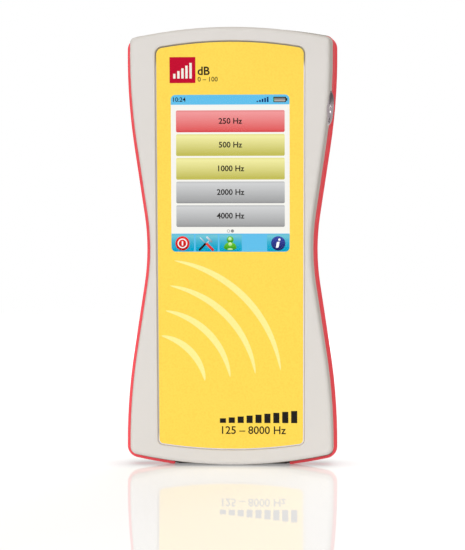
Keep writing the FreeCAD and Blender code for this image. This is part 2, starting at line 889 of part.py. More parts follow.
# ---- shells
def front_shell():
    """The front half of the case: a wedge-shaped tub with the overlay's pocket and the display's opening."""
    shell = symmetrical(round_edges(front_form(0, 0), front_edge_radius, on_face_plane))
    shell = shell.cut(dish_cone(0, dish_floor_x))
    shell = shell.cut(on_face(overlay_prism(overlay_clearance, -wall, pocket_depth)))
    shell = round_edges(shell, pocket_lip_radius, lambda edge: on_face_plane(edge) and in_pocket(edge))
    margins = (glass_side_margin, glass_bottom_margin, glass_top_margin)
    opening = [margin + glass_clearance for margin in margins]
    shell = shell.cut(on_face(display_block(*opening, 0, backlight_back, window_corner + glass_clearance)))
    return shell.cut(front_room()).cut(group(front_holes()))


def front_room():
    """The room inside the front shell: what its bosses, board posts, dish and bracket pins leave of it."""
    standing = []
    for x, z in mirrored(case_screw_points):
        standing.append(rod_y(boss_radius, x, z, face_y(z, pocket_depth), seam_y))
    for x, z in mirrored(board_screw_points):
        standing.append(rod_y(post_radius, x, z, face_y(z, pocket_depth), board_front_y))
    for z in ear_centres():
        for side in (1, -1):
            foot, tip = (side * stake_x, pocket_depth, z), (side * stake_x, stake_end, z)
            standing.append(on_face(rod(stake_radius, foot, tip)))
    dish = button_rod(dish_boss_radius, dish_inner_x, case_half_width)
    return front_form(wall, front_wall).cut(group(standing)).cut(dish)


def front_holes():
    """The holes in the front shell's bosses for inserts and screws, and the button's hole in its dish."""
    holes = [button_rod(button_radius + button_clearance, dish_inner_x - past, dish_floor_x + past)]
    for x, z in mirrored(case_screw_points):
        end_y = screw_seat_y - screw_length - screw_clearance
        holes.append(rod_y(insert_radius, x, z, seam_y - insert_length, seam_y))
        holes.append(rod_y(screw_radius + screw_clearance, x, z, end_y, seam_y))
    for x, z in mirrored(board_screw_points):
        end_y = board_back_y - board_screw_length - screw_clearance
        holes.append(rod_y(board_screw_radius + small_clearance, x, z, end_y, board_front_y))
    return holes


def in_pocket(edge):
    """Whether an edge lies round the pocket and its rounded lip, and not at the rim of the face."""
    low = overlay_low - overlay_clearance - pocket_lip_radius - near
    high = overlay_high + overlay_clearance + pocket_lip_radius + near
    half = overlay_half_width + overlay_clearance + pocket_lip_radius + near
    return all(abs(point.x) < half and low < point.z < high for point in edge.discretize(5))


stake_end = front_wall + bracket_sheet + stake_proud


def seam_gasket():
    """The grey seal between the shells, a little proud of the case."""
    hole = outline_prism(wall, seam_y - past, rear_front_y + past)
    ring = outline_prism(-gasket_proud, seam_y, rear_front_y).cut(hole)
    ring = ring.common(block(-reach, reach, seam_y, rear_front_y, 0, case_height))
    return ring.cut(dish_cone(0, dish_floor_x))


def panel_block(grow, z_low, z_high):
    """The outline of the connector panel, made larger all round, between two heights."""
    corners = (-panel_half_width - grow, panel_half_width + grow, panel_front_y - grow, panel_back_y + grow)
    solid = block(*corners, z_low, z_high)
    corner = max(panel_corner + grow, least_corner)
    return round_edges(solid, corner, lambda edge: runs_along(edge, Vector(0, 0, 1)))


def door_block(grow, y_low, y_high):
    """The outline of the battery door, made larger all round, between two depths."""
    return rounded_block(
        -door_half_width - grow,
        door_half_width + grow,
        y_low,
        y_high,
        door_low - grow,
        door_high + grow,
        door_corner + grow,
    )


def door_screw_points():
    """Where the battery door's screws are."""
    inset = door_overlap / 2
    return mirrored([(door_screw_x, door_low + inset), (door_screw_x, door_high - inset)])


def foot_blocks(grow):
    """The pads on the back of the case, made larger all round."""
    pads = []
    upper, lower = (upper_foot_x, upper_foot_z, upper_back_y), (lower_foot_x, lower_foot_z, lower_back_y)
    for x, z, surface in (upper, lower):
        for side in (1, -1):
            half, reach_z = back_foot_width / 2 + grow, back_foot_length / 2 + grow
            low = surface - back_foot_sink
            pads.append(
                rounded_block(
                    side * x - half,
                    side * x + half,
                    low,
                    low + back_foot_thickness,
                    z - reach_z,
                    z + reach_z,
                    half - least_flat,
                )
            )
    return pads


def bottom_foot_blocks(grow):
    """The pads that the case stands on, made larger all round."""
    pads = []
    for side in (1, -1):
        middle = side * bottom_foot_x
        half = bottom_foot_half_width + grow
        pad = block(
            middle - half,
            middle + half,
            bottom_foot_low_y - grow,
            bottom_foot_high_y + grow,
            0,
            bottom_foot_thickness,
        )
        pads.append(round_edges(pad, half / 2, lambda edge: runs_along(edge, Vector(0, 0, 1))))
    return pads


def grille_points():
    """Places of the loudspeaker's holes, on a hexagonal grid about its middle."""
    points = []
    for i in range(-grille_rings, grille_rings + 1):
        for j in range(-grille_rings, grille_rings + 1):
            if abs(i + j) <= grille_rings:
                points.append((grille_pitch * (i + j / 2), speaker_z + grille_pitch * j * math.sqrt(3) / 2))
    return points


inner_back_y = upper_back_y - wall
speaker_front_y = inner_back_y - speaker_gasket


def rear_shell():
    """The back half of the case, with the battery compartment, screw bosses and the seats of what it carries."""
    outside = rounded_rear_form()
    shell = outside.cut(rear_form(grip_band_wall, wall))
    speaker_room = speaker_radius + speaker_clearance
    holder_front_y = inner_back_y - speaker_holder_depth
    added = [
        block(
            -compartment_half_width - compartment_wall,
            compartment_half_width + compartment_wall,
            compartment_floor_y - compartment_wall,
            lower_back_y,
            compartment_low - compartment_wall,
            compartment_high + compartment_wall,
        ),
        door_block(door_gap + compartment_wall, ledge_y - door_ledge, lower_back_y),
        panel_block(panel_clearance + panel_collar, panel_top_z - panel_thickness - panel_ledge, case_height),
        rod_y(speaker_room + speaker_holder_wall, 0, speaker_z, holder_front_y, upper_back_y),
    ]
    boss = screw_head_radius + screw_clearance + compartment_wall
    added += [rod_y(boss, x, z, rear_front_y, upper_back_y) for x, z in mirrored(case_screw_points)]
    post_front_y = ledge_y - door_screw_length - compartment_wall
    added += [rod_y(door_post_radius, x, z, post_front_y, lower_back_y) for x, z in door_screw_points()]
    core = rear_form(grip_band_wall - wall / 2, wall / 2)
    shell = shell.multiFuse([piece.common(core) for piece in added])

    cuts = [
        block(
            -compartment_half_width,
            compartment_half_width,
            compartment_floor_y,
            reach,
            compartment_low,
            compartment_high,
        ),
        door_block(door_gap, ledge_y, upper_back_y),
        panel_block(panel_clearance, panel_top_z - panel_thickness, reach),
        panel_block(-panel_ledge, panel_top_z - 2 * panel_thickness - panel_ledge, reach),
        rod_y(speaker_room, 0, speaker_z, holder_front_y - past, inner_back_y),
        rod_z(jack_nose_radius + port_gap, -port_x, port_y, -1, port_body_z),
        block(
            port_x - data_half_width - data_shell - port_gap,
            port_x + data_half_width + data_shell + port_gap,
            port_y - data_half_height - data_shell - port_gap,
            port_y + data_half_height + data_shell + port_gap,
            -1,
            port_body_z,
        ),
    ]
    for x, z in mirrored(case_screw_points):
        cuts.append(rod_y(screw_radius + screw_clearance, x, z, rear_front_y - past, screw_seat_y + past))
        cuts.append(rod_y(screw_head_radius + screw_clearance, x, z, screw_seat_y, reach))
    for x, z in door_screw_points():
        cuts.append(rod_y(door_screw_radius + small_clearance, x, z, ledge_y - door_screw_length, ledge_y))
    cuts += [rod_y(grille_hole_radius, x, z, inner_back_y - past, reach) for x, z in grille_points()]
    cuts += [grip_seat(side) for side in (1, -1)]
    cuts += foot_blocks(foot_clearance) + bottom_foot_blocks(foot_clearance)
    return shell.cut(cuts).cut(dish_cone(0, dish_floor_x))


port_body_z = grip_band_wall + port_body_gap


# ---- battery compartment
def cell_x(index):
    """The middle of one battery cell."""
    return (index - (cell_count - 1) / 2) * cell_pitch


def battery_cells():
    """Rechargeable cells side by side, each the other way up from its neighbour."""
    low = compartment_low + contact_thickness + contact_spring_reach
    high = compartment_high - contact_thickness - contact_spring_reach
    cells = []
    for index in range(cell_count):
        x, up = cell_x(index), index % 2 == 0
        body_low = low if up else high - cell_length
        nub_end = high if up else low
        body = rod_z(cell_radius, x, cell_y, body_low, body_low + cell_length)
        nub = rod_z(cell_nub_radius, x, cell_y, (low + high) / 2, nub_end)
        cells.append(fuse([body, nub]))
    return group(cells)


def battery_contacts():
    """Sprung plates at both ends of each cell."""
    contacts = []
    for index in range(cell_count):
        x = cell_x(index)
        half = contact_width / 2
        for wall_z, inward in ((compartment_low, 1), (compartment_high, -1)):
            z_low, z_high = sorted((wall_z, wall_z + inward * contact_thickness))
            plate = block(x - half, x + half, cell_y - half, cell_y + half, z_low, z_high)
            tip_z = wall_z + inward * (contact_thickness + contact_spring_reach)
            contacts.append(fuse([plate, rod_z(contact_spring_radius, x, cell_y, wall_z, tip_z)]))
    return group(contacts)


def battery_door():
    """The flat door over the cells, with a seat for each captive screw."""
    door = door_block(0, door_front_y, lower_back_y)
    for x, z in door_screw_points():
        seat_y = lower_back_y - door_screw_head_height
        door = door.cut(rod_y(door_screw_radius + door_screw_clearance, x, z, door_front_y - past, reach))
        door = door.cut(rod_y(door_screw_head + door_screw_clearance, x, z, seat_y, reach))
    return door


def door_seal():
    """The foam frame under the door's rim."""
    frame = door_block(-door_seal_inset, ledge_y, door_front_y)
    grow = door_seal_inset
    hole = block(
        -compartment_half_width - grow,
        compartment_half_width + grow,
        ledge_y - past,
        door_front_y + past,
        compartment_low - grow,
        compartment_high + grow,
    )
    frame = frame.cut(hole)
    for x, z in door_screw_points():
        frame = frame.cut(rod_y(door_screw_radius + door_screw_clearance, x, z, ledge_y - past, reach))
    return frame


def door_screws():
    """The door's captive screws."""
    seat_y = lower_back_y - door_screw_head_height
    length = door_screw_length - screw_clearance + seat_y - ledge_y
    return group(
        [
            screw(door_screw_radius, door_screw_head, door_screw_head_height, length, (x, seat_y, z), (0, -1, 0))
            for x, z in door_screw_points()
        ]
    )


# ---- fasteners of the case and the main board
def case_screws():
    """The screws that hold the shells together, deep in the rear shell."""
    return group(
        [
            screw(screw_radius, screw_head_radius, screw_head_height, screw_length, (x, screw_seat_y, z), (0, -1, 0))
            for x, z in mirrored(case_screw_points)
        ]
    )


def threaded_inserts():
    """Brass inserts in the front shell's bosses."""
    return group(
        [
            tube(insert_radius, screw_radius, (x, seam_y - insert_length, z), (x, seam_y, z))
            for x, z in mirrored(case_screw_points)
        ]
    )


def board_screws():
    """The screws that hold the main board to the front shell."""
    return group(
        [
            screw(
                board_screw_radius,
                board_screw_head,
                board_screw_head_height,
                board_screw_length,
                (x, board_back_y, z),
                (0, -1, 0),
            )
            for x, z in mirrored(board_screw_points)
        ]
    )


# ---- circuit boards and what stands on them
def amplifier_points():
    """Where the amplifier board's spacers are."""
    x = amplifier_half_width - spacer_inset
    return mirrored([(x, amplifier_low + spacer_inset), (x, amplifier_low + amplifier_height - spacer_inset)])


amplifier_front_y = board_back_y + spacer_height
amplifier_back_y = amplifier_front_y + board_thickness


def main_board():
    """The board behind the display, cut away round the case's bosses and the button's dish."""
    board = outline_prism(board_inset, board_front_y, board_back_y)
    board = board.common(block(-reach, reach, board_front_y, board_back_y, board_low, board_high))
    gap = boss_radius + board_gap
    for x, z in mirrored(case_screw_points):
        outer = x + math.copysign(case_half_width, x)
        low_x, high_x = sorted((x, outer))
        notch = block(low_x, high_x, board_front_y - past, board_back_y + past, z - gap, z + gap)
        board = board.cut(fuse([rod_y(gap, x, z, board_front_y - past, board_back_y + past), notch]))
    board = board.cut(button_rod(dish_boss_radius + board_gap, dish_inner_x - board_gap, case_half_width))
    flange_end_x = flange_x - button_flange - button_travel - board_gap
    board = board.cut(button_rod(button_flange_radius + board_gap, flange_end_x, case_half_width))
    for x, z in mirrored(board_screw_points) + amplifier_points():
        radius = board_screw_radius + screw_clearance
        board = board.cut(rod_y(radius, x, z, board_front_y - past, board_back_y + past))
    return board


def chip_row(halves, z, front, back):
    """A row of chips on a board, evenly spaced about its middle."""
    chips = []
    for index, (half_x, half_z) in enumerate(halves):
        x = (index - (len(halves) - 1) / 2) * chip_pitch
        chips.append(block(x - half_x, x + half_x, front, back, z - half_z, z + half_z))
    return chips


def main_board_chips():
    """Processor, memory and converters on the back of the main board, away from the shield and the coin cell."""
    rows = ((chip_halves, amplifier_low - chip_gap), (small_chip_halves, waist_z - small_chip_drop))
    return group([chip for halves, z in rows for chip in chip_row(halves, z, board_back_y, board_back_y + chip_height)])


def shield_can():
    """A tinned lid over the radio-sensitive part of the main board."""
    ends = (shield_x - shield_half_width, shield_x + shield_half_width)
    heights = (shield_z - shield_half_height, shield_z + shield_half_height)
    lid = block(*ends, board_back_y, board_back_y + shield_depth, *heights)
    sheet = shield_sheet
    inside = block(
        ends[0] + sheet,
        ends[1] - sheet,
        board_back_y - past,
        board_back_y + shield_depth - sheet,
        heights[0] + sheet,
        heights[1] - sheet,
    )
    return lid.cut(inside)


def coin_cell_holder():
    """A shallow cup on the main board for the clock's cell."""
    front = board_back_y + coin_holder_base
    outer = coin_cell_radius + small_clearance + coin_holder_wall
    cup = rod_y(outer, coin_cell_x, coin_cell_z, board_back_y, front + coin_cell_thickness / 2)
    hollow = rod_y(coin_cell_radius + small_clearance, coin_cell_x, coin_cell_z, front, reach)
    return cup.cut(hollow)


def coin_cell():
    """The clock's cell."""
    front = board_back_y + coin_holder_base
    return rod_y(coin_cell_radius, coin_cell_x, coin_cell_z, front, front + coin_cell_thickness)


def amplifier_board():
    """The measuring amplifier's own board, on spacers behind the main board."""
    board = block(
        -amplifier_half_width,
        amplifier_half_width,
        amplifier_front_y,
        amplifier_back_y,
        amplifier_low,
        amplifier_low + amplifier_height,
    )
    for x, z in amplifier_points():
        radius = board_screw_radius + screw_clearance
        board = board.cut(rod_y(radius, x, z, amplifier_front_y - past, amplifier_back_y + past))
    return board


def amplifier_spacers():
    """Threaded spacers between the two boards."""
    bore = board_screw_radius + small_clearance
    return group(
        [
            tube(spacer_radius, bore, (x, board_back_y, z), (x, amplifier_front_y, z))
            for x, z in amplifier_points()
        ]
    )


def amplifier_screws():
    """Screws into both ends of each spacer."""
    screws = []
    for x, z in amplifier_points():
        for seat_y, direction in ((board_front_y, 1), (amplifier_back_y, -1)):
            screws.append(
                screw(
                    board_screw_radius,
                    board_screw_head,
                    board_screw_head_height,
                    board_screw_length,
                    (x, seat_y, z),
                    (0, direction, 0),
                )
            )
    return group(screws)


def amplifier_chips():
    """Converters and filters on the front of the amplifier board."""
    z = amplifier_low + amplifier_chip_rise
    return group(chip_row(amplifier_chip_halves, z, amplifier_front_y - chip_height, amplifier_front_y))


def board_link():
    """The tall header that joins the two boards."""
    return block(
        -link_half_width,
        link_half_width,
        board_back_y,
        amplifier_front_y,
        link_z - link_half_height,
        link_z + link_half_height,
    )


# ---- sockets on the top end
def socket_centres():
    """X of the three sockets, from the left."""
    return (-socket_pitch, 0.0, socket_pitch)


insert_top_z = socket_top_z - socket_bore_length
socket_low_z = socket_top_z - socket_depth


def connector_panel():
    """The plate that carries the sockets, in the top of the rear shell."""
    plate = panel_block(0, panel_top_z - panel_thickness, panel_top_z)
    radius = socket_body_radius + socket_thread_clearance
    for x in socket_centres():
        plate = plate.cut(rod_z(radius, x, socket_y, panel_top_z - reach, panel_top_z + past))
    return plate


def socket_body(x):
    """A round socket's threaded metal body, with its flange on the panel."""
    body = fuse(
        [
            rod_z(socket_flange_radius, x, socket_y, panel_top_z, socket_top_z),
            rod_z(socket_body_radius, x, socket_y, socket_low_z, socket_top_z),
        ]
    )
    body = body.cut(rod_z(socket_insert_radius + small_clearance, x, socket_y, socket_low_z - past, socket_top_z))
    return body.cut(rod_z(socket_bore, x, socket_y, insert_top_z, socket_top_z + past))


def socket_ring(x):
    """The coloured ring that tells one socket from another."""
    low, high = (x, socket_y, socket_top_z), (x, socket_y, socket_top_z + socket_ring_height)
    return tube(socket_ring_outer, socket_ring_inner, low, high)


def pin_places(x):
    """Where one socket's contacts are."""
    turns = [2 * math.pi * k / socket_pin_count for k in range(socket_pin_count)]
    return [(x + socket_pin_circle * math.cos(turn), socket_y + socket_pin_circle * math.sin(turn)) for turn in turns]


def socket_inserts():
    """The sockets' insulators."""
    inserts = []
    for x in socket_centres():
        insert = rod_z(socket_insert_radius, x, socket_y, socket_low_z, insert_top_z)
        for px, py in pin_places(x):
            insert = insert.cut(rod_z(socket_pin_radius, px, py, socket_low_z - past, insert_top_z + past))
        inserts.append(insert)
    return group(inserts)


def socket_contacts():
    """The sockets' contact sleeves, with tails through the socket board."""
    low, high = socket_board_low_z, insert_top_z
    return group(
        [
            rod_z(socket_pin_radius, px, py, low, high).cut(
                rod_z(socket_pin_radius / 2, px, py, (low + high) / 2, high + past)
            )
            for x in socket_centres()
            for px, py in pin_places(x)
        ]
    )


def socket_nuts():
    """Nuts that clamp the sockets to the panel from below."""
    high = panel_top_z - panel_thickness
    return group(
        [
            hexagon(nut_across_corners, x, socket_y, high - nut_height, nut_height).cut(
                rod_z(socket_body_radius + socket_thread_clearance, x, socket_y, high - 2 * nut_height, high + past)
            )
            for x in socket_centres()
        ]
    )


socket_board_low_z = socket_low_z - socket_board_thickness


def socket_board():
    """The small board that the sockets' tails are soldered to."""
    board = block(
        -socket_board_half_width,
        socket_board_half_width,
        socket_y - socket_board_half_depth,
        socket_y + socket_board_half_depth,
        socket_board_low_z,
        socket_low_z,
    )
    for x in socket_centres():
        for px, py in pin_places(x):
            board = board.cut(rod_z(socket_pin_radius, px, py, socket_board_low_z - past, socket_low_z + past))
    return board


def socket_link():
    """The right-angle header between the socket board and the amplifier board."""
    top = amplifier_low + amplifier_height
    return block(
        -socket_link_half_width,
        socket_link_half_width,
        amplifier_front_y - socket_link_depth,
        amplifier_front_y,
        top - socket_link_depth,
        socket_board_low_z,
    )


# ---- ports on the bottom end
def power_jack():
    """The charger's round jack, on the main board, with its nose in the shell."""
    body = block(
        -port_x - jack_half_width,
        -port_x + jack_half_width,
        board_back_y,
        port_y + jack_half_width,
        port_body_z,
        port_body_z + jack_length,
    )
    jack = fuse([body, rod_z(jack_nose_radius, -port_x, port_y, port_mouth_z, port_body_z + past)])
    bore_end = port_mouth_z + jack_bore_length
    jack = jack.cut(rod_z(jack_bore, -port_x, port_y, 0, bore_end))
    return jack.cut(rod_z(jack_inner_bore, -port_x, port_y, 0, jack_end_z))


jack_end_z = port_body_z + jack_length - compartment_wall


def jack_pin():
    """The jack's centre pin."""
    tip = port_mouth_z + jack_bore_length + jack_pin_recess
    return rod_z(jack_pin_radius, -port_x, port_y, tip, jack_end_z)


def data_block(grow, z_low, z_high):
    """The outline of the data port's cavity, made larger all round, between two heights."""
    return block(
        port_x - data_half_width - grow,
        port_x + data_half_width + grow,
        port_y - data_half_height - grow,
        port_y + data_half_height + grow,
        z_low,
        z_high,
    )


def data_port():
    """The data port's metal shell."""
    high = port_mouth_z + data_length
    return data_block(data_shell, port_mouth_z, high).cut(data_block(0, 0, port_mouth_z + data_socket_depth))


def data_port_base():
    """The plastic block that carries the data port on the main board."""
    return block(
        port_x - data_half_width - data_shell,
        port_x + data_half_width + data_shell,
        board_back_y,
        port_y - data_half_height - data_shell,
        max(port_body_z, board_low),
        port_mouth_z + data_length,
    )


def data_tongue():
    """The data port's tongue, with its contacts."""
    low = port_mouth_z + port_gap * 3
    return block(
        port_x - data_tongue_half_width,
        port_x + data_tongue_half_width,
        port_y - data_tongue_half_height,
        port_y + data_tongue_half_height,
        low,
        port_mouth_z + data_socket_depth,
    )


# ---- loudspeaker
def speaker_rod(radius, y_low, y_high):
    """A cylinder on the loudspeaker's axis."""
    return rod_y(radius, 0, speaker_z, y_low, y_high)


speaker_back_y = speaker_front_y - speaker_depth


def speaker_frame():
    """The loudspeaker's basket, open towards the grille."""
    frame = speaker_rod(speaker_radius, speaker_back_y, speaker_front_y)
    inner = speaker_radius - speaker_rim
    return frame.cut(speaker_rod(inner, speaker_back_y + speaker_back_sheet, speaker_front_y + past))


def speaker_magnet():
    """The loudspeaker's magnet."""
    return speaker_rod(speaker_magnet_radius, speaker_back_y - speaker_magnet_depth, speaker_back_y)


def speaker_cone():
    """The loudspeaker's shallow cone, fixed to the basket at its rim."""
    outer = speaker_radius - speaker_rim
    inner = outer / 3
    rim_y = speaker_front_y - speaker_cone_sheet
    middle_y = rim_y - speaker_cone_depth
    sheet = speaker_cone_sheet
    front = cone(inner, outer, (0, middle_y + sheet, speaker_z), (0, rim_y + sheet, speaker_z))
    back = cone(inner, outer, (0, middle_y, speaker_z), (0, rim_y, speaker_z))
    disc = speaker_rod(inner, middle_y, middle_y + sheet)
    return fuse([back.cut(front), disc])


def speaker_gasket_ring():
    """The foam ring between the loudspeaker and the rear shell."""
    return tube(
        speaker_radius,
        speaker_radius - speaker_rim,
        (0, speaker_front_y, speaker_z),
        (0, inner_back_y, speaker_z),
    )


def speaker_mesh():
    """The dust mesh behind the loudspeaker's holes."""
    return speaker_rod(speaker_radius - speaker_rim - small_clearance, inner_back_y - mesh_thickness, inner_back_y)


# ---- the whole object
def nodes():
    """Every piece by its node's name."""
    left, middle, right = socket_centres()
    return {
        "front_shell": front_shell(),
        "rear_shell": rear_shell(),
        "seam_gasket": seam_gasket(),
        "grip_left": grip(-1),
        "grip_right": grip(1).cut(dish_cone(0, dish_floor_x)),
        "bottom_feet": group(bottom_foot_blocks(0)),
        "back_feet": group(foot_blocks(0)),
        "case_screws": case_screws(),
        "threaded_inserts": threaded_inserts(),
        "front_overlay": front_overlay(),
        "touch_glass": touch_glass(),
        "display_gasket": display_gasket(),
        "lcd_panel": lcd_panel(),
        "backlight": backlight(),
        "display_bracket_left": display_bracket(-1),
        "display_bracket_right": display_bracket(1),
        "lcd_ribbon": lcd_ribbon(),
        "ribbon_plug": ribbon_plug(),
        "main_board": main_board(),
        "board_screws": board_screws(),
        "main_board_chips": main_board_chips(),
        "shield_can": shield_can(),
        "coin_cell_holder": coin_cell_holder(),
        "coin_cell": coin_cell(),
        "amplifier_board": amplifier_board(),
        "amplifier_spacers": amplifier_spacers(),
        "amplifier_screws": amplifier_screws(),
        "amplifier_chips": amplifier_chips(),
        "board_link": board_link(),
        "battery_cells": battery_cells(),
        "battery_contacts": battery_contacts(),
        "battery_door": battery_door(),
        "door_seal": door_seal(),
        "door_screws": door_screws(),
        "power_button": power_button(),
        "button_trim": button_trim(),
        "switch_body": switch_body(),
        "switch_plunger": switch_plunger(),
        "connector_panel": connector_panel(),
        "socket_left": socket_body(left),
        "socket_middle": socket_body(middle),
        "socket_right": socket_body(right),
        "socket_ring_left": socket_ring(left),
        "socket_ring_middle": socket_ring(middle),
        "socket_ring_right": socket_ring(right),
        "socket_inserts": socket_inserts(),
        "socket_contacts": socket_contacts(),
        "socket_nuts": socket_nuts(),
        "socket_board": socket_board(),
        "socket_link": socket_link(),
        "power_jack": power_jack(),
        "jack_pin": jack_pin(),
        "data_port": data_port(),
        "data_port_base": data_port_base(),
        "data_tongue": data_tongue(),
        "speaker_frame": speaker_frame(),
        "speaker_magnet": speaker_magnet(),
        "speaker_cone": speaker_cone(),
        "speaker_gasket": speaker_gasket_ring(),
        "speaker_mesh": speaker_mesh(),
    }


os.makedirs("parts", exist_ok=True)
for name, shape in nodes().items():
    shape.exportStep(os.path.join("parts", name + ".step"))
    print(f"{name}: {len(shape.Solids)} solids, {shape.Volume / 1000:.2f} cm3, valid {shape.isValid()}")
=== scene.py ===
import math

import bmesh
import bpy
from mathutils import Matrix, Vector
from mathutils.bvhtree import BVHTree


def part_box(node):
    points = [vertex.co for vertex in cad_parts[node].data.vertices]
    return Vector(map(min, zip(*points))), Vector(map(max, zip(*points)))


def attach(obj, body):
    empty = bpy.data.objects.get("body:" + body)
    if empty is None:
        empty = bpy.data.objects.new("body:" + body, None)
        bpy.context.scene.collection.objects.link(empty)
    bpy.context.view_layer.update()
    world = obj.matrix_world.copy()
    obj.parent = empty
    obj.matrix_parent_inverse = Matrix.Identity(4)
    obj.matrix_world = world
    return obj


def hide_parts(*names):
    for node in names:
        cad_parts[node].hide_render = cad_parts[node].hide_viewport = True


bl_info = {
    "name": "Hand-held audiometer",
    "version": (1, 0, 0),
    "blender": (4, 5, 0),
    "location": "3D View > Sidebar > Audiometer",
    "description": "Dresses the frame of a hand-held audiometer with finishes, prints and a screen picture",
    "category": "Object",
}

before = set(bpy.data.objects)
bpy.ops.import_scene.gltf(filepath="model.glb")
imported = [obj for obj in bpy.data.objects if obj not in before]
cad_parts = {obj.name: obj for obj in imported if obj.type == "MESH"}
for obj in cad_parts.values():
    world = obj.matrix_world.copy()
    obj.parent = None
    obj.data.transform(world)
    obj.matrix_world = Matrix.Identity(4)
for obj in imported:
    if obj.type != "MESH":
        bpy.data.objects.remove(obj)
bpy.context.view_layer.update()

MM = 0.001
ROUND_STEPS = 48  # points of a full circle
CORNER_STEPS = 8  # steps of one rounded corner


# --- sizes and colours that a user would change ---------------------------------------------------------


def length(name, millimetres, description):
    """A length property that is given in millimetres and kept in metres."""
    return bpy.props.FloatProperty(
        name=name,
        description=description,
        default=millimetres * MM,
        unit="LENGTH",
        subtype="DISTANCE",
        precision=5,
    )


def amount(name, value, description):
    return bpy.props.FloatProperty(name=name, description=description, default=value)


def count(name, value, description):
    return bpy.props.IntProperty(name=name, description=description, default=value, min=1)


def linear(code):
    """A hex sRGB colour as linear red, green and blue."""
    channels = [int(code[i:i + 2], 16) / 255 for i in (1, 3, 5)]
    return tuple(c / 12.92 if c <= 0.04045 else ((c + 0.055) / 1.055) ** 2.4 for c in channels)


def tint(name, code, description):
    return bpy.props.FloatVectorProperty(
        name=name,
        description=description,
        default=linear(code),
        subtype="COLOR",
        size=3,
        min=0.0,
        max=1.0,
    )


class AudiometerFace(bpy.types.PropertyGroup):
    """Where the leaning face stands, and the window in its overlay."""

    foot: length("Foot", -12.5, "Y of the face plane at the floor")
    rise: length("Rise", 207.5, "Height over which the lean is measured")
    lean: length("Lean", 13.5, "How far the top of the face stands forward of its foot")
    print_depth: length("Print depth", 0.9, "Depth of the overlay's front below the face plane")
    screen_depth: length("Screen depth", 2.58, "Depth of the screen picture below the face plane")
    ink: length("Ink", 0.02, "Thickness of a printed layer or a layer of the screen picture")
    window_top: length("Window top", 174.6, "Distance of the window's top edge up the face")
    window_width: length("Window width", 55.5, "Width of the window")
    window_height: length("Window height", 73.4, "Height of the window")
    window_corner: length("Window corner", 2.1, "Corner radius of the window")


class AudiometerScreen(bpy.types.PropertyGroup):
    """The picture on the screen. Drops are measured down from the window's top edge."""

    status_height: length("Status bar", 4.6, "Height of the status bar")
    key_width: length("Key width", 50.9, "Width of a key on the screen")
    key_height: length("Key height", 10.2, "Height of a key on the screen")
    key_pitch: length("Key pitch", 11.08, "Distance between keys")
    key_corner: length("Key corner", 0.7, "Corner radius of a key")
    key_drop: length("First key", 7.25, "Drop of the first key's top edge")
    tool_drop: length("Toolbar", 64.9, "Drop of the toolbar's top edge")
    tool_width: length("Tool width", 10.5, "Width of a toolbar tile")
    tool_pitch: length("Tool pitch", 11.22, "Distance between toolbar tiles")
    icon_drop: length("Icons", 69.5, "Drop of the icons' centres")
    icon_radius: length("Icon radius", 3.35, "Radius of a round icon")
    text_height: length("Text height", 3.0, "Size of the keys' labels")
    glow: amount("Glow", 1.05, "Brightness of the lit screen")
    sky: tint("Bar blue", "#62c0ea", "Status bar and toolbar")
    paper: tint("Background", "#f7f5ee", "Background of the screen")
    red_top: tint("Red top", "#f4a0a0", "Top of the red key")
    red_low: tint("Red bottom", "#e04f4f", "Bottom of the red key")
    olive_top: tint("Olive top", "#f8f2a8", "Top of an olive key")
    olive_low: tint("Olive bottom", "#bdb64a", "Bottom of an olive key")
    grey_top: tint("Grey top", "#d6d6d6", "Top of a grey key")
    grey_low: tint("Grey bottom", "#9c9c9c", "Bottom of a grey key")
    teal_top: tint("Teal top", "#80d0dc", "Top of a toolbar tile")
    teal_low: tint("Teal bottom", "#00a4c8", "Bottom of a toolbar tile")


class AudiometerPrint(bpy.types.PropertyGroup):
    """What is printed on the overlay. Heights are measured up the face."""

    badge_width: length("Badge", 12.1, "Width of the square badge")
    badge_x: length("Badge X", -22.15, "Middle of the badge across the face")
    badge_up: length("Badge height", 186.1, "Middle of the badge up the face")
    arc_x: length("Arcs X", -37.0, "Middle of the sound arcs across the face")
    arc_up: length("Arcs height", 37.0, "Middle of the sound arcs up the face")
    arc_count: count("Arcs", 4, "Number of sound arcs")
    arc_radius: length("Inner arc", 25.0, "Radius of the innermost arc")
    arc_pitch: length("Arc pitch", 12.0, "Distance between arcs")
    arc_width: length("Arc width", 3.0, "Widest part of an arc")
    scale_x: length("Scale X", -5.3, "Left end of the level bars across the face")
    scale_up: length("Scale height", 20.4, "Foot of the level bars up the face")
    scale_count: count("Level bars", 9, "Number of level bars")
    scale_pitch: length("Level pitch", 4.2, "Distance between level bars")
    scale_width: length("Level width", 2.9, "Width of a level bar")
    overlay: tint("Overlay", "#ffdc5a", "Base colour of the overlay")
    pale: tint("Pale print", "#fff19c", "Colour of the sound arcs")
    ink: tint("Ink", "#1c1a17", "Colour of the numbers and level bars")
    badge: tint("Badge colour", "#c3062f", "Colour of the badge")


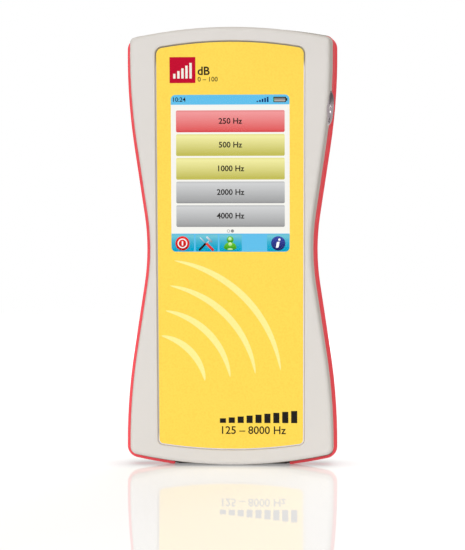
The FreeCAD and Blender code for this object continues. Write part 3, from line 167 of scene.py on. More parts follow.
class AudiometerCase(bpy.types.PropertyGroup):
    """Colours of the case."""

    shell: tint("Shell", "#dedad6", "Moulded shells and battery door")
    grip: tint("Grip", "#fb5660", "Soft-touch side grips")
    seal: tint("Seal", "#8d897b", "Seal between the shells")
    foot: tint("Feet", "#3b3a3a", "Pads under the case and on its back")
    grain: length("Grain", 0.35, "Size of the shells' spark-eroded texture")
    bezel_height: length("Bezel height", 15.4, "Height of the oval bezel around the power button's dish")
    bezel_depth: length("Bezel depth", 19.0, "Front-to-back size of the bezel")
    bezel_forward: length("Bezel forward", 0.3, "How far the bezel's middle is in front of the button's axis")
    bezel_low: length("Bezel low", 0.4, "How far the bezel's middle stands under the button's axis")
    bezel_stand: length("Bezel stand", 0.45, "How far the bezel's crest stands over the side wall")
    bezel_rise: length("Bezel rise", 0.6, "How much more the crest stands out beside the grip")
    surround: length("Surround", 10.3, "Radius of the flat shell surround of the dish")
    lip_foot: length("Lip at the foot", 0.8, "Width of the grips' lips over the seam, at the floor")
    lip_top: length("Lip at the top", 5.6, "Width of the grips' lips over the seam, at the upper corners")
    lip_edge: length("Lip edge", 0.2, "Thickness of the lips' front edge")
    lip_back: length("Lip back", 0.62, "Thickness of the lips where they meet the grips")
    # the pad's spare length is dark rubber that stands in for painted shadow under the case
    pad_shadow_spare: length("Pad spare", 2.9, "How far the pad under the case runs on at each end")
    film_edge: length("Film edge", 0.28, "Width of the overlay's clear cut edge")


class AudiometerStage(bpy.types.PropertyGroup):
    """Camera, lamps and floor."""

    camera: bpy.props.FloatVectorProperty(
        name="Camera",
        description="Place of the camera",
        default=(0.0505, -0.9696, 0.0947),
        subtype="TRANSLATION",
        unit="LENGTH",
        size=3,
    )
    aim: bpy.props.FloatVectorProperty(
        name="Aim",
        description="Point that the camera looks at",
        default=(0.0, 0.0, 0.0901),
        subtype="TRANSLATION",
        unit="LENGTH",
        size=3,
    )
    lens: amount("Lens", 88.7, "Focal length in millimetres on a sensor 24 mm high")
    floor: length("Floor", 6000.0, "Width of the floor")
    sky: amount("Sky", 0.34, "Brightness of the sky on matt surfaces")
    sky_tint: tint("Sky tint", "#fff0dc", "Colour of the light that matt surfaces get from the sky")
    lamp_tint: tint("Lamp tint", "#f7fbff", "Colour of the lamps")
    key: amount("Key lamp", 8.2, "Power of the lamp at the front left")
    front: amount("Front lamp", 33.0, "Power of the far lamp over the camera")
    top: amount("Top lamp", 2.0, "Power of the lamp overhead")
    back: amount("Back lamp", 20.0, "Power of the lamp behind")
    table: amount("Light table", 0.35, "Light that the floor around the object throws up on it")
    mirror: amount("Mirror", 0.25, "Share of the floor that mirrors the object")


def settings(name):
    return getattr(bpy.context.scene, name)


# --- materials ------------------------------------------------------------------------------------------


WHITE = (1.0, 1.0, 1.0)
BLACK = (0.0, 0.0, 0.0)
ANY_COLOUR = (0.5, 0.5, 0.5, 1.0)  # a colour input's default; its four channels tell it from a vector
SOCKETS = {1: "NodeSocketFloat", 3: "NodeSocketVector", 4: "NodeSocketColor"}
TOOL_MARKS = 0.004 * MM  # depth of the lines and rings on metal


def tone(colour):
    """Linear red, green and blue of a colour that may also be given as a hex code."""
    return linear(colour) if isinstance(colour, str) else tuple(colour)


def scaled(colour, gain, lift=0.0):
    """A colour made darker or paler."""
    return tuple(min(1.0, c * gain + lift) for c in tone(colour))


def spaced(values):
    """Keyword arguments as socket names and values: an underscore stands for a space."""
    return {label.replace("_", " "): value for label, value in values.items()}


class Graph:
    """Adds nodes to a tree and joins them."""

    def __init__(self, tree):
        self.tree = tree

    def feed(self, socket, value):
        """Links an output, or a node's first one, to a socket, or sets a constant on the socket."""
        if isinstance(value, bpy.types.Node):
            value = value.outputs[0]
        if isinstance(value, bpy.types.NodeSocket):
            self.tree.links.new(value, socket)
        else:
            socket.default_value = (*tone(value), 1.0) if socket.type == "RGBA" else value

    def add(self, kind, sockets=None, **choices):
        """A new node, with its own settings as choices and its inputs by name or number."""
        node = self.tree.nodes.new(kind)
        for name, value in choices.items():
            setattr(node, name, value)
        for name, value in (sockets or {}).items():
            self.feed(node.inputs[name], value)
        return node

    def maths(self, operation, *values, clamp=False):
        sockets = dict(enumerate(values))
        return self.add("ShaderNodeMath", sockets, operation=operation, use_clamp=clamp).outputs[0]

    def plus(self, first, second):
        return self.maths("ADD", first, second)

    def minus(self, first, second):
        return self.maths("SUBTRACT", first, second)

    def times(self, first, second, clamp=False):
        return self.maths("MULTIPLY", first, second, clamp=clamp)

    def over(self, first, second):
        return self.maths("DIVIDE", first, second)

    def vector(self, operation, *values):
        node = self.add("ShaderNodeVectorMath", dict(enumerate(values)), operation=operation)
        return node.outputs["Value" if operation in ("LENGTH", "DOT_PRODUCT") else "Vector"]

    def split(self, vector):
        """The outputs X, Y and Z of a vector."""
        return self.add("ShaderNodeSeparateXYZ", {"Vector": vector}).outputs

    def xyz(self, **parts):
        """A vector out of X, Y and Z; one that isn't given is 0."""
        return self.add("ShaderNodeCombineXYZ", parts)

    def mix(self, mask, first, second):
        """The first colour where the mask is 0, the second where it is 1."""
        return self.add("ShaderNodeMix", {0: mask, 6: first, 7: second}, data_type="RGBA").outputs[2]

    def spread(self, value, low, high, new_low=0.0, new_high=1.0):
        """A value's range from low to high, stretched to a new one."""
        sockets = dict(enumerate((value, low, high, new_low, new_high)))
        return self.add("ShaderNodeMapRange", sockets, clamp=True).outputs[0]

    def place(self):
        """Object coordinates, which are metres in the frame's axes."""
        return self.add("ShaderNodeTexCoord").outputs["Object"]

    def noise(self, scale, detail=2.0, place=None):
        sockets = {"Vector": place or self.place(), "Scale": scale, "Detail": detail}
        return self.add("ShaderNodeTexNoise", sockets).outputs[0]

    def sway(self, base, share, size, detail):
        """A value that slow noise moves up and down from its base by a share, in patches of a size."""
        slow = self.noise(self.over(1.0, size), detail)
        swing = self.times(self.minus(slow, 0.5), share)
        return self.plus(base, self.times(swing, 2.0))


EFFECTS = {}
made_effects = {}
made_finishes = {}


def effect(name, **inputs):
    """Keeps a function under a name, as an effect with these inputs and their defaults.

    It is called with the effect's graph and its inputs, and returns its outputs by name.
    """

    def keep(fill):
        EFFECTS[name] = (fill, spaced(inputs))
        return fill

    return keep


def effect_group(name):
    """An effect's shader node group."""
    fill, inputs = EFFECTS[name]
    group = bpy.data.node_groups.new(name, "ShaderNodeTree")
    for label, value in inputs.items():
        kind = SOCKETS[len(value) if isinstance(value, tuple) else 1]
        group.interface.new_socket(label, in_out="INPUT", socket_type=kind).default_value = value
    graph = Graph(group)
    results = fill(graph, graph.add("NodeGroupInput").outputs)
    for label in results:
        kind = SOCKETS[4 if label == "Colour" else 1]
        group.interface.new_socket(label, in_out="OUTPUT", socket_type=kind)
    graph.add("NodeGroupOutput", results)
    return group


@effect("Fine grain", Size=0.4 * MM, Softness=1.0)
def fine_grain(graph, given):
    """Fine raised grain of a moulded or cast surface."""
    bumps = graph.noise(graph.over(1.0, given["Size"]), given["Softness"])
    return {"Height": graph.spread(bumps, 0.3, 0.7)}


@effect("Colour drift", Colour=ANY_COLOUR, Amount=0.05, Size=30.0 * MM)
def colour_drift(graph, given):
    """Slow change of a colour's brightness over a surface."""
    shade = graph.sway(1.0, given["Amount"], given["Size"], 3.0)
    return {"Colour": graph.add("ShaderNodeHueSaturation", {"Color": given["Colour"], "Value": shade})}


@effect("Edge wear", Colour=ANY_COLOUR, Worn_colour=ANY_COLOUR, Width=0.5 * MM, Amount=0.5)
def edge_wear(graph, given):
    """Edges that hands have rubbed: a mask along convex edges, broken up by noise."""
    rounded = graph.add("ShaderNodeBevel", {"Radius": given["Width"]}, samples=4).outputs[0]
    plain = graph.add("ShaderNodeNewGeometry").outputs["Normal"]
    turn = graph.minus(1.0, graph.vector("DOT_PRODUCT", rounded, plain))
    broken = graph.spread(graph.noise(600.0, 3.0), 0.35, 0.65)
    edge = graph.times(graph.spread(turn, 0.02, 0.25), broken)
    mask = graph.times(edge, given["Amount"], clamp=True)
    return {"Colour": graph.mix(mask, given["Colour"], given["Worn colour"]), "Mask": mask}


@effect("Handling", Roughness=0.4, Spread=0.1, Size=20.0 * MM)
def handling(graph, given):
    """Roughness that changes in patches, as on a handled surface."""
    return {"Roughness": graph.sway(given["Roughness"], given["Spread"], given["Size"], 4.0)}


@effect("Turned rings", Middle=(0.0, 0.0, 0.0), Axis=(0.0, 0.0, 1.0), Pitch=0.2 * MM)
def turned_rings(graph, given):
    """Fine rings left by a lathe around an axis."""
    arm = graph.vector("SUBTRACT", graph.place(), given["Middle"])
    away = graph.vector("LENGTH", graph.vector("CROSS_PRODUCT", arm, given["Axis"]))
    uneven = graph.times(graph.noise(90.0), 3.0)
    turns = graph.plus(graph.over(away, given["Pitch"]), uneven)
    wave = graph.maths("SINE", graph.times(turns, 2 * math.pi))
    return {"Height": graph.spread(wave, -1.0, 1.0)}


@effect("Drawn lines", Stretch=(1.0, 0.02, 1.0), Size=0.2 * MM)
def drawn_lines(graph, given):
    """Long fine lines of brushed or rolled metal along one axis."""
    place = graph.vector("MULTIPLY", graph.place(), given["Stretch"])
    return {"Height": graph.noise(graph.over(1.0, given["Size"]), 3.0, place)}


@effect("Open pores", Colour=ANY_COLOUR, Hollow=ANY_COLOUR, Size=0.6 * MM)
def open_pores(graph, given):
    """The small cells of foam."""
    sockets = {"Vector": graph.place(), "Scale": graph.over(1.0, given["Size"])}
    cells = graph.add("ShaderNodeTexVoronoi", sockets).outputs["Distance"]
    wall = graph.spread(cells, 0.1, 0.55)
    return {"Colour": graph.mix(wall, given["Hollow"], given["Colour"]), "Height": wall}


@effect(
    "Board tracks", Mask_colour=ANY_COLOUR, Track_colour=ANY_COLOUR, Via_colour=ANY_COLOUR, Pitch=1.6 * MM
)
def board_tracks(graph, given):
    """Copper tracks and vias under a board's solder mask."""
    scale = graph.over(1.0, given["Pitch"])
    upright = graph.add("ShaderNodeMapping", {"Vector": graph.place(), "Rotation": (math.pi / 2, 0.0, 0.0)})
    bricks = graph.add("ShaderNodeTexBrick", {
        "Vector": upright, "Color1": WHITE, "Color2": (0.6, 0.6, 0.6), "Mortar": BLACK, "Scale": scale,
        "Mortar Size": 0.09, "Mortar Smooth": 0.1,
    })
    keep = graph.spread(graph.noise(150.0, 1.0), 0.48, 0.52)
    line = graph.times(graph.minus(1.0, bricks.outputs["Color"]), keep, clamp=True)
    dots = graph.add("ShaderNodeTexVoronoi", {
        "Vector": graph.place(), "Scale": graph.times(scale, 0.45), "Randomness": 0.8,
    })
    via = graph.spread(dots.outputs["Distance"], 0.10, 0.13, 1.0, 0.0)
    tracks = graph.mix(line, given["Mask colour"], given["Track colour"])
    colour = graph.mix(via, tracks, given["Via colour"])
    return {"Colour": colour, "Height": graph.maths("MAXIMUM", line, via)}


@effect("Print speckle", Colour=ANY_COLOUR, Speck_colour=ANY_COLOUR, Size=0.8 * MM, Amount=0.3)
def print_speckle(graph, given):
    """Fine darker specks and an orange-peel surface of a screen-printed film."""
    scale = graph.over(1.0, given["Size"])
    mask = graph.times(graph.spread(graph.noise(scale, 4.0), 0.42, 0.68), given["Amount"])
    return {
        "Colour": graph.mix(mask, given["Colour"], given["Speck colour"]),
        "Height": graph.noise(graph.times(scale, 0.6), 1.0),
    }


class Surface(Graph):
    """The graph of a new material and its Principled shader."""

    def __init__(self, name, roughness, metallic=0.0, **constants):
        self.material = bpy.data.materials.new(name)
        self.material.use_nodes = True
        super().__init__(self.material.node_tree)
        self.shader = self.tree.nodes["Principled BSDF"]
        self.give(Roughness=roughness, Metallic=metallic, **constants)

    def give(self, **values):
        """Feeds inputs of the shader."""
        for label, value in spaced(values).items():
            self.feed(self.shader.inputs[label], value)

    def use(self, name, **values):
        """The outputs of an effect's group node, with its own values by input name."""
        if name not in made_effects:
            made_effects[name] = effect_group(name)
        return self.add("ShaderNodeGroup", spaced(values), node_tree=made_effects[name]).outputs

    def drift(self, colour, share, size=30.0 * MM):
        return self.use("Colour drift", Colour=colour, Amount=share, Size=size)["Colour"]

    def handled(self, roughness, spread=0.1):
        return self.use("Handling", Roughness=roughness, Spread=spread)["Roughness"]

    def rubbed(self, base, worn, width, share):
        return self.use("Edge wear", Colour=base, Worn_colour=worn, Width=width, Amount=share)

    def coat(self, colour, roughness, height=None, depth=0.0):
        """The material with its colour, its roughness, and a height of 0 to 1 times a depth in metres."""
        self.give(Base_Color=colour, Roughness=roughness)
        if height:
            self.give(Normal=self.add("ShaderNodeBump", {"Distance": depth, "Height": height}))
        return self.material


def moulded(name, colour, roughness, size=0.4 * MM, depth=0.01 * MM, drift=0.03, wear=0.3, worn=None, **more):
    """Moulded plastic or rubber: grain, slow drift of colour, handled patches and rubbed edges."""
    graph = Surface(name, roughness, **more)
    edge = graph.rubbed(graph.drift(colour, drift), worn or scaled(colour, 1.25, 0.02), 0.4 * MM, wear)
    grain = graph.use("Fine grain", Size=size)["Height"]
    return graph.coat(edge["Colour"], graph.handled(roughness), grain, depth)


def bright_metal(graph, colour, drift, size):
    """A metal's colour with slow drift and bright edges."""
    return graph.rubbed(graph.drift(colour, drift, size), scaled(colour, 1.2, 0.05), 0.2 * MM, 0.5)["Colour"]


def metal(name, colour, roughness, stretch=(1.0, 0.05, 1.0)):
    """Drawn or rolled metal: long fine lines, slow drift of colour and bright edges."""
    graph = Surface(name, roughness, 1.0)
    lines = graph.use("Drawn lines", Stretch=stretch, Size=0.3 * MM)["Height"]
    uneven = graph.spread(lines, 0.2, 0.8, roughness - 0.07, roughness + 0.1)
    return graph.coat(bright_metal(graph, colour, 0.06, 6.0 * MM), uneven, lines, TOOL_MARKS)


def lathe_marks(graph, roughness, node, pitch):
    """The height of the rings of a node turned around X, and a roughness that follows them."""
    low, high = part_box(node)
    middle = tuple((low + high) / 2)
    rings = graph.use("Turned rings", Middle=middle, Axis=(1.0, 0.0, 0.0), Pitch=pitch)["Height"]
    return rings, graph.spread(rings, 0.0, 1.0, roughness - 0.05, roughness + 0.08)


def turned(name, colour, roughness, node):
    """Metal turned on a lathe, around the middle of a node."""
    graph = Surface(name, roughness, 1.0)
    rings, uneven = lathe_marks(graph, roughness, node, 0.2 * MM)
    return graph.coat(bright_metal(graph, colour, 0.05, 4.0 * MM), uneven, rings, TOOL_MARKS)


def shaded_metal(name, colour, roughness, node):
    """Turned metal with painted shade, which darkens it towards the upper end of a node; its pale rubbed
    edges are partly wear and partly a painted highlight.
    """
    graph = Surface(name, roughness, 1.0)
    rings, uneven = lathe_marks(graph, roughness, node, 0.3 * MM)
    low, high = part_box(node)
    starts, full = (low.z + share * (high.z - low.z) for share in (0.55, 0.85))
    # painted shade: darker and less metallic towards the upper end
    painted_shade = graph.times(graph.spread(graph.split(graph.place())["Z"], starts, full), 0.95)
    # pale rubbed edges: wear, and also a painted highlight along the bezel's lip
    edge = graph.rubbed(colour, "#e6e1da", 0.6 * MM, 1.0)
    unshaded = graph.minus(1.0, graph.times(painted_shade, graph.minus(1.0, edge["Mask"])))
    graph.give(Metallic=unshaded)
    shaded = graph.mix(unshaded, scaled(colour, 0.03), edge["Colour"])
    return graph.coat(shaded, graph.plus(uneven, graph.times(painted_shade, 0.3)), rings, TOOL_MARKS)


def foamed(name, colour):
    """Closed foam, matt and full of small cells."""
    graph = Surface(name, 0.9)
    cells = graph.use("Open pores", Colour=colour, Hollow=scaled(colour, 0.3), Size=0.6 * MM)
    return graph.coat(cells["Colour"], 0.9, cells["Height"], 0.1 * MM)


def printed(name, colour, specks, share, roughness=0.5, size=0.8 * MM):
    """A screen-printed film or ink layer."""
    graph = Surface(name, roughness, Specular_IOR_Level=0.05)
    peel = graph.use("Print speckle", Colour=colour, Speck_colour=specks, Size=size, Amount=share)
    base = graph.drift(peel["Colour"], 0.015)
    return graph.coat(base, graph.handled(roughness, 0.06), peel["Height"], 0.012 * MM)


def lit(name, low, high=None, border=None, bend=1.0):
    """A lit layer of the screen: its colour runs from low to high by the piece's own attribute, rise.

    A bend over 1 keeps the low colour for longer. A border is laid over the foot and the top.
    """
    graph = Surface(name, 0.6, Specular_IOR_Level=0.0, Base_Color=BLACK)
    rise = graph.add("ShaderNodeAttribute", attribute_name="rise").outputs["Fac"]
    colour = graph.mix(graph.maths("POWER", rise, bend), low, high or low)
    if border:
        rim = graph.spread(rise, 0.90, 0.97, 0.0, 0.3)
        foot = graph.spread(rise, 0.02, 0.08, 0.8, 0.0)
        colour = graph.mix(graph.maths("MAXIMUM", rim, foot), colour, border)
    dots_per_metre = 7000.0
    dots = graph.add("ShaderNodeTexVoronoi", {
        "Vector": graph.place(), "Scale": dots_per_metre, "Randomness": 0.0,
    })
    grid = graph.spread(dots.outputs["Distance"], 0.0, 0.8, 1.0, 0.97)
    shaded = graph.add("ShaderNodeHueSaturation", {"Color": colour, "Value": grid})
    graph.give(Emission_Color=shaded, Emission_Strength=settings("audiometer_screen").glow)
    return graph.material


def board_finish():
    graph = Surface("Board laminate", 0.35)
    colours = {"Mask_colour": "#1d5a38", "Track_colour": "#2f7a4c", "Via_colour": "#cdb26a"}
    tracks = graph.use("Board tracks", **colours)
    return graph.coat(tracks["Colour"], graph.handled(0.35), tracks["Height"], 0.03 * MM)


def glass_finish():
    graph = Surface("Touch glass", 0.02, IOR=1.13, Transmission_Weight=1.0)
    marks = graph.spread(graph.noise(60.0, 5.0), 0.45, 0.75, 0.0, 0.05)
    return graph.coat((0.98, 0.99, 1.0), marks)


def cell_finish():
    """A cell's printed sleeve: a dark body with a lighter band near one end and fine gloss."""
    graph = Surface("Cell sleeve", 0.3)
    band = graph.spread(graph.split(graph.place())["Z"], 57.5 * MM, 57.7 * MM)
    base = graph.drift(graph.mix(band, "#2b3640", "#b07a36"), 0.04, 8.0 * MM)
    grain = graph.use("Fine grain", Size=1.2 * MM)["Height"]
    return graph.coat(base, graph.handled(0.3), grain, 0.01 * MM)


def cut_edge_finish():
    """The cut edge of a clear film in painted light and shade: a painted highlight low and right, and the
    pocket wall's painted shade left and at the top.
    """
    graph = Surface("Cut film edge", 0.3, Specular_IOR_Level=0.05)
    low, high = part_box("front_overlay")
    place = graph.split(graph.place())
    # painted highlight towards the right and towards the foot
    painted_light_sideways = graph.spread(place["X"], -0.3 * high.x, 0.3 * high.x)
    foot = graph.spread(place["Z"], low.z + 4.0 * MM, low.z + 8.0 * MM, 1.0, 0.0)
    colour = graph.mix(graph.maths("MAXIMUM", painted_light_sideways, foot), "#b4b0ba", "#e2e0ee")
    # painted shade of the pocket's wall near the top
    top = graph.spread(place["Z"], high.z - 12.0 * MM, high.z - 9.0 * MM)
    return graph.coat(graph.drift(graph.mix(top, colour, "#77716c"), 0.02), graph.handled(0.3))


def case_plastic():
    case = settings("audiometer_case")
    return moulded("Moulded shell", case.shell, 0.5, case.grain, 0.008 * MM, 0.02, Specular_IOR_Level=0.0)


def soft_grip():
    case = settings("audiometer_case")
    return moulded(
        "Soft-touch grip", case.grip, 0.6, 0.25 * MM, 0.012 * MM, wear=0.2, worn="#f0767c",
        Specular_IOR_Level=0.15,
    )


FINISHES = {
    "shell_plastic": case_plastic,
    "seal_rubber": lambda: moulded("Seal rubber", settings("audiometer_case").seal, 0.7, wear=0.1),
    "grip_rubber": soft_grip,
    "foot_rubber": lambda: moulded("Pad rubber", settings("audiometer_case").foot, 0.75, 0.3 * MM, 0.02 * MM),
    "screw_steel": lambda: metal("Screw steel", "#b9bbbd", 0.32),
    "insert_brass": lambda: metal("Insert brass", "#c9a45a", 0.3),
    "overlay_film": lambda: printed("Overlay film", settings("audiometer_print").overlay, "#f6bb3a", 0.22),
    "touch_glass": glass_finish,
    "foam": lambda: foamed("Closed foam", "#2c2c2e"),
    "display_panel": lambda: printed("Panel face", "#15171a", "#202428", 0.4, 0.15),
    "display_tray": lambda: moulded("Tray plastic", "#3a3b3e", 0.5),
    "sheet_steel": lambda: metal("Sheet steel", "#a9acaf", 0.3, (0.05, 1.0, 1.0)),
    "flex_film": lambda: printed("Flex film", "#c08a2e", "#8a5a18", 0.5, 0.3, 0.6 * MM),
    "connector_plastic": lambda: moulded("Connector plastic", "#222326", 0.45),
    "board_laminate": board_finish,
    "chip_epoxy": lambda: moulded("Chip epoxy", "#202124", 0.6, 0.15 * MM),
    "contact_metal": lambda: metal("Contact nickel", "#c6c4bd", 0.25),
    "cell_wrap": cell_finish,
    "button_metal": lambda: turned("Button metal", "#7d7875", 0.32, "power_button"),
    "trim_metal": lambda: shaded_metal("Trim metal", "#9d9396", 0.26, "button_trim"),
    "socket_metal": lambda: metal("Socket metal", "#aeb0b1", 0.28, (1.0, 1.0, 0.05)),
    "ring_blue": lambda: moulded("Blue ring", "#2d62b0", 0.35),
    "ring_grey": lambda: moulded("Grey ring", "#77797b", 0.35),
    "ring_red": lambda: moulded("Red ring", "#c22a31", 0.35),
    "contact_gold": lambda: metal("Contact gold", "#e0b860", 0.22, (1.0, 1.0, 0.1)),
    "magnet_iron": lambda: metal("Magnet iron", "#6f7173", 0.45),
    "speaker_film": lambda: printed("Speaker film", "#57524a", "#3f3b35", 0.5, 0.35),
    "speaker_mesh": lambda: metal("Mesh wire", "#55585b", 0.4),
}


def finish(slot):
    """The finish of one of the record's material slots, made once."""
    if slot not in made_finishes:
        made_finishes[slot] = FINISHES[slot]()
    return made_finishes[slot]


def dress(*nodes):
    """Gives frame nodes the finish of the slot that the record names for them."""
    for name in nodes:
        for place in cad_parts[name].material_slots:
            if place.material.name in FINISHES:
                place.material = finish(place.material.name)


# --- shapes ---------------------------------------------------------------------------------------------


def face_matrix(depth):
    """The leaning face as axes: across, up the face, and out of it, at a depth below the face plane."""
    face = settings("audiometer_face")
    lean = math.atan2(face.lean, face.rise)
    across = Vector((1.0, 0.0, 0.0))
    up = Vector((0.0, -math.sin(lean), math.cos(lean)))
    out = across.cross(up)
    made = Matrix((across, up, out)).transposed().to_4x4()
    made.translation = Vector((0.0, face.foot, 0.0)) - out * depth
    return made


def at(x, y, z=0.0):
    return Matrix.Translation((x, y, z))


def in_scene(name, data):
    """A new object for a mesh, a text, a lamp or a camera."""
    obj = bpy.data.objects.new(name, data)
    bpy.context.collection.objects.link(obj)
    return obj


def shown(name, mesh, material, body="case", sharp=40.0):
    """An object for a mesh with its material in its one slot, riding on a body."""
    mesh.materials.clear()
    mesh.materials.append(material)
    obj = in_scene(name, mesh)
    mesh.shade_smooth()
    mesh.set_sharp_from_angle(angle=math.radians(sharp))
    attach(obj, body)
    return obj


def meshed(work, name):
    """The mesh of a finished bmesh."""
    mesh = bpy.data.meshes.new(name)
    work.to_mesh(mesh)
    work.free()
    return mesh


def evaluated(holder):
    """The plain mesh that an object's modifier or text makes. The object goes."""
    bpy.context.view_layer.update()
    ready = holder.evaluated_get(bpy.context.evaluated_depsgraph_get())
    mesh = bpy.data.meshes.new_from_object(ready)
    holder.modifiers.clear()
    bpy.data.objects.remove(holder)
    return mesh


def arc(radius, turns, x=0.0, y=0.0):
    """Points at given turns around a middle."""
    return [(x + radius * math.cos(turn), y + radius * math.sin(turn)) for turn in turns]


def full_turn(steps):
    return [2 * math.pi * i / steps for i in range(steps)]


def circle(radius, x=0.0, y=0.0, steps=ROUND_STEPS):
    return arc(radius, full_turn(steps), x, y)


def round_rect(width, height, corner, x=0.0, y=0.0):
    """Corner points of a rounded rectangle, anticlockwise."""
    points = []
    steps = CORNER_STEPS if corner > 0 else 0
    for i, (sx, sy) in enumerate(((1, -1), (1, 1), (-1, 1), (-1, -1))):
        turns = [(i - 1 + j / max(steps, 1)) * math.pi / 2 for j in range(steps + 1)]
        points += arc(corner, turns, x + sx * (width / 2 - corner), y + sy * (height / 2 - corner))
    return points


def slab(outlines, thickness, hole=None):
    """A mesh of flat closed slabs, one for each outline, with the attribute rise from foot to top.

    A hole has as many points as the outline around it.
    """
    work = bmesh.new()
    rise = work.verts.layers.float.new("rise")
    for outline in outlines:
        ys = [y for x, y in outline]
        low, tall = min(ys), max(max(ys) - min(ys), 1e-9)
        rings = []
        for line in [outline, hole] if hole else [outline]:
            for z in (0.0, thickness):
                rings.append([work.verts.new((x, y, z)) for x, y in line])
                for vert in rings[-1]:
                    vert[rise] = (vert.co.y - low) / tall
        backs, fronts = rings[:2]
        following = [*range(1, len(outline)), 0]
        if hole:
            inner_backs, inner_fronts = rings[2:]
            for i, j in enumerate(following):
                work.faces.new((backs[i], backs[j], fronts[j], fronts[i]))
                work.faces.new((inner_backs[j], inner_backs[i], inner_fronts[i], inner_fronts[j]))
                work.faces.new((fronts[i], fronts[j], inner_fronts[j], inner_fronts[i]))
                work.faces.new((backs[j], backs[i], inner_backs[i], inner_backs[j]))
        else:
            work.faces.new(fronts)
            work.faces.new(backs[::-1])
            for i, j in enumerate(following):
                work.faces.new((backs[i], backs[j], fronts[j], fronts[i]))
    return meshed(work, "slab")


def lathe(profile, place, steps):
    """A closed turned shape: pairs of distance along the axis and radius, from end to end."""
    work = bmesh.new()
    rings = []
    for along, radius in profile:
        points = circle(radius, steps=steps) if radius > 0 else [(0.0, 0.0)]
        rings.append([work.verts.new((*point, along)) for point in points])
    for low, high in zip(rings, rings[1:]):
        for i in range(steps):
            j = (i + 1) % steps
            corners = [low[i % len(low)], low[j % len(low)], high[j % len(high)], high[i % len(high)]]
            kept = list(dict.fromkeys(corners))
            if len(kept) > 2:
                work.faces.new(kept)
    bmesh.ops.recalc_face_normals(work, faces=work.faces)
    mesh = meshed(work, "turned")
    mesh.transform(place)
    return mesh


def lettering(words, size, thickness, align="CENTER", weight=0.0):
    """A mesh of raised lettering with its middle line at the origin."""
    curve = bpy.data.curves.new("words", "FONT")
    curve.body = words
    curve.size = size
    curve.align_x = align
    curve.align_y = "CENTER"
    curve.extrude = thickness / 2
    curve.offset = weight
    curve.resolution_u = 3
    mesh = evaluated(in_scene("words", curve))
    bpy.data.curves.remove(curve)
    work = bmesh.new()
    work.from_mesh(mesh)
    bmesh.ops.remove_doubles(work, verts=work.verts, dist=1e-8)
    work.to_mesh(mesh)
    work.free()
    mesh.transform(at(0.0, 0.0, thickness / 2))
    return mesh


def joined(pieces):
    """One mesh out of several pairs of mesh and place."""
    work = bmesh.new()
    for mesh, place in pieces:
        mesh.transform(place)
        work.from_mesh(mesh)
        bpy.data.meshes.remove(mesh)
    return meshed(work, "joined")


def skin(node):
    """A frame node's surface, to look for where a line meets it."""
    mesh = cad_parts[node].data
    return BVHTree.FromPolygons([v.co for v in mesh.vertices], [p.vertices for p in mesh.polygons])


def tube(sections, looped=True):
    """A closed skin through sections with the same number of points; its ends are capped or meet."""
    work = bmesh.new()
    rings = [[work.verts.new(point) for point in section] for section in sections]
    following = rings[1:] + rings[:1] if looped else rings[1:]
    for ring, after in zip(rings, following):
        for i in range(len(ring)):
            j = (i + 1) % len(ring)
            work.faces.new((ring[i], ring[j], after[j], after[i]))
    if not looped:
        work.faces.new(rings[0])
        work.faces.new(rings[-1])
    bmesh.ops.recalc_face_normals(work, faces=work.faces)
    return meshed(work, "tube")


def outer_edge(node, to_face):
    """The tallest edge loop of a node's front faces, as points in the face's own axes."""
    work = bmesh.new()
    work.from_mesh(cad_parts[node].data)
    bmesh.ops.remove_doubles(work, verts=work.verts, dist=1e-7)
    work.normal_update()
    back = [face for face in work.faces if face.normal.y > -0.9]
    bmesh.ops.delete(work, geom=back, context="FACES")
    left = {edge: None for edge in work.edges if edge.is_boundary}
    loops = []
    while left:
        loop = list(left.popitem()[0].verts)
        while following := next((edge for edge in loop[-1].link_edges if edge in left), None):
            del left[following]
            loop.append(following.other_vert(loop[-1]))
        if loop[0] == loop[-1]:
            loops.append([to_face @ vert.co for vert in loop[:-1]])
    work.free()
    tallest = max(loops, key=lambda loop: max(p.y for p in loop) - min(p.y for p in loop))
    points = [(p.x, p.y) for p in tallest]
    area = sum(a[0] * b[1] - b[0] * a[1] for a, b in zip(points, points[1:] + points[:1]))
    return points if area > 0 else points[::-1]


def inset(points, width):
    """A closed anticlockwise outline moved inwards."""
    moved = []
    for before, point, after in zip(points[-1:] + points[:-1], points, points[1:] + points[:1]):
        along = Vector((after[0] - before[0], after[1] - before[1])).normalized()
        moved.append((point[0] - along.y * width, point[1] + along.x * width))
    return moved


# --- geometry node trees --------------------------------------------------------------------------------


TREE_SOCKETS = {"Geometry": "NodeSocketGeometry", "Count": "NodeSocketInt", "Finish": "NodeSocketMaterial"}


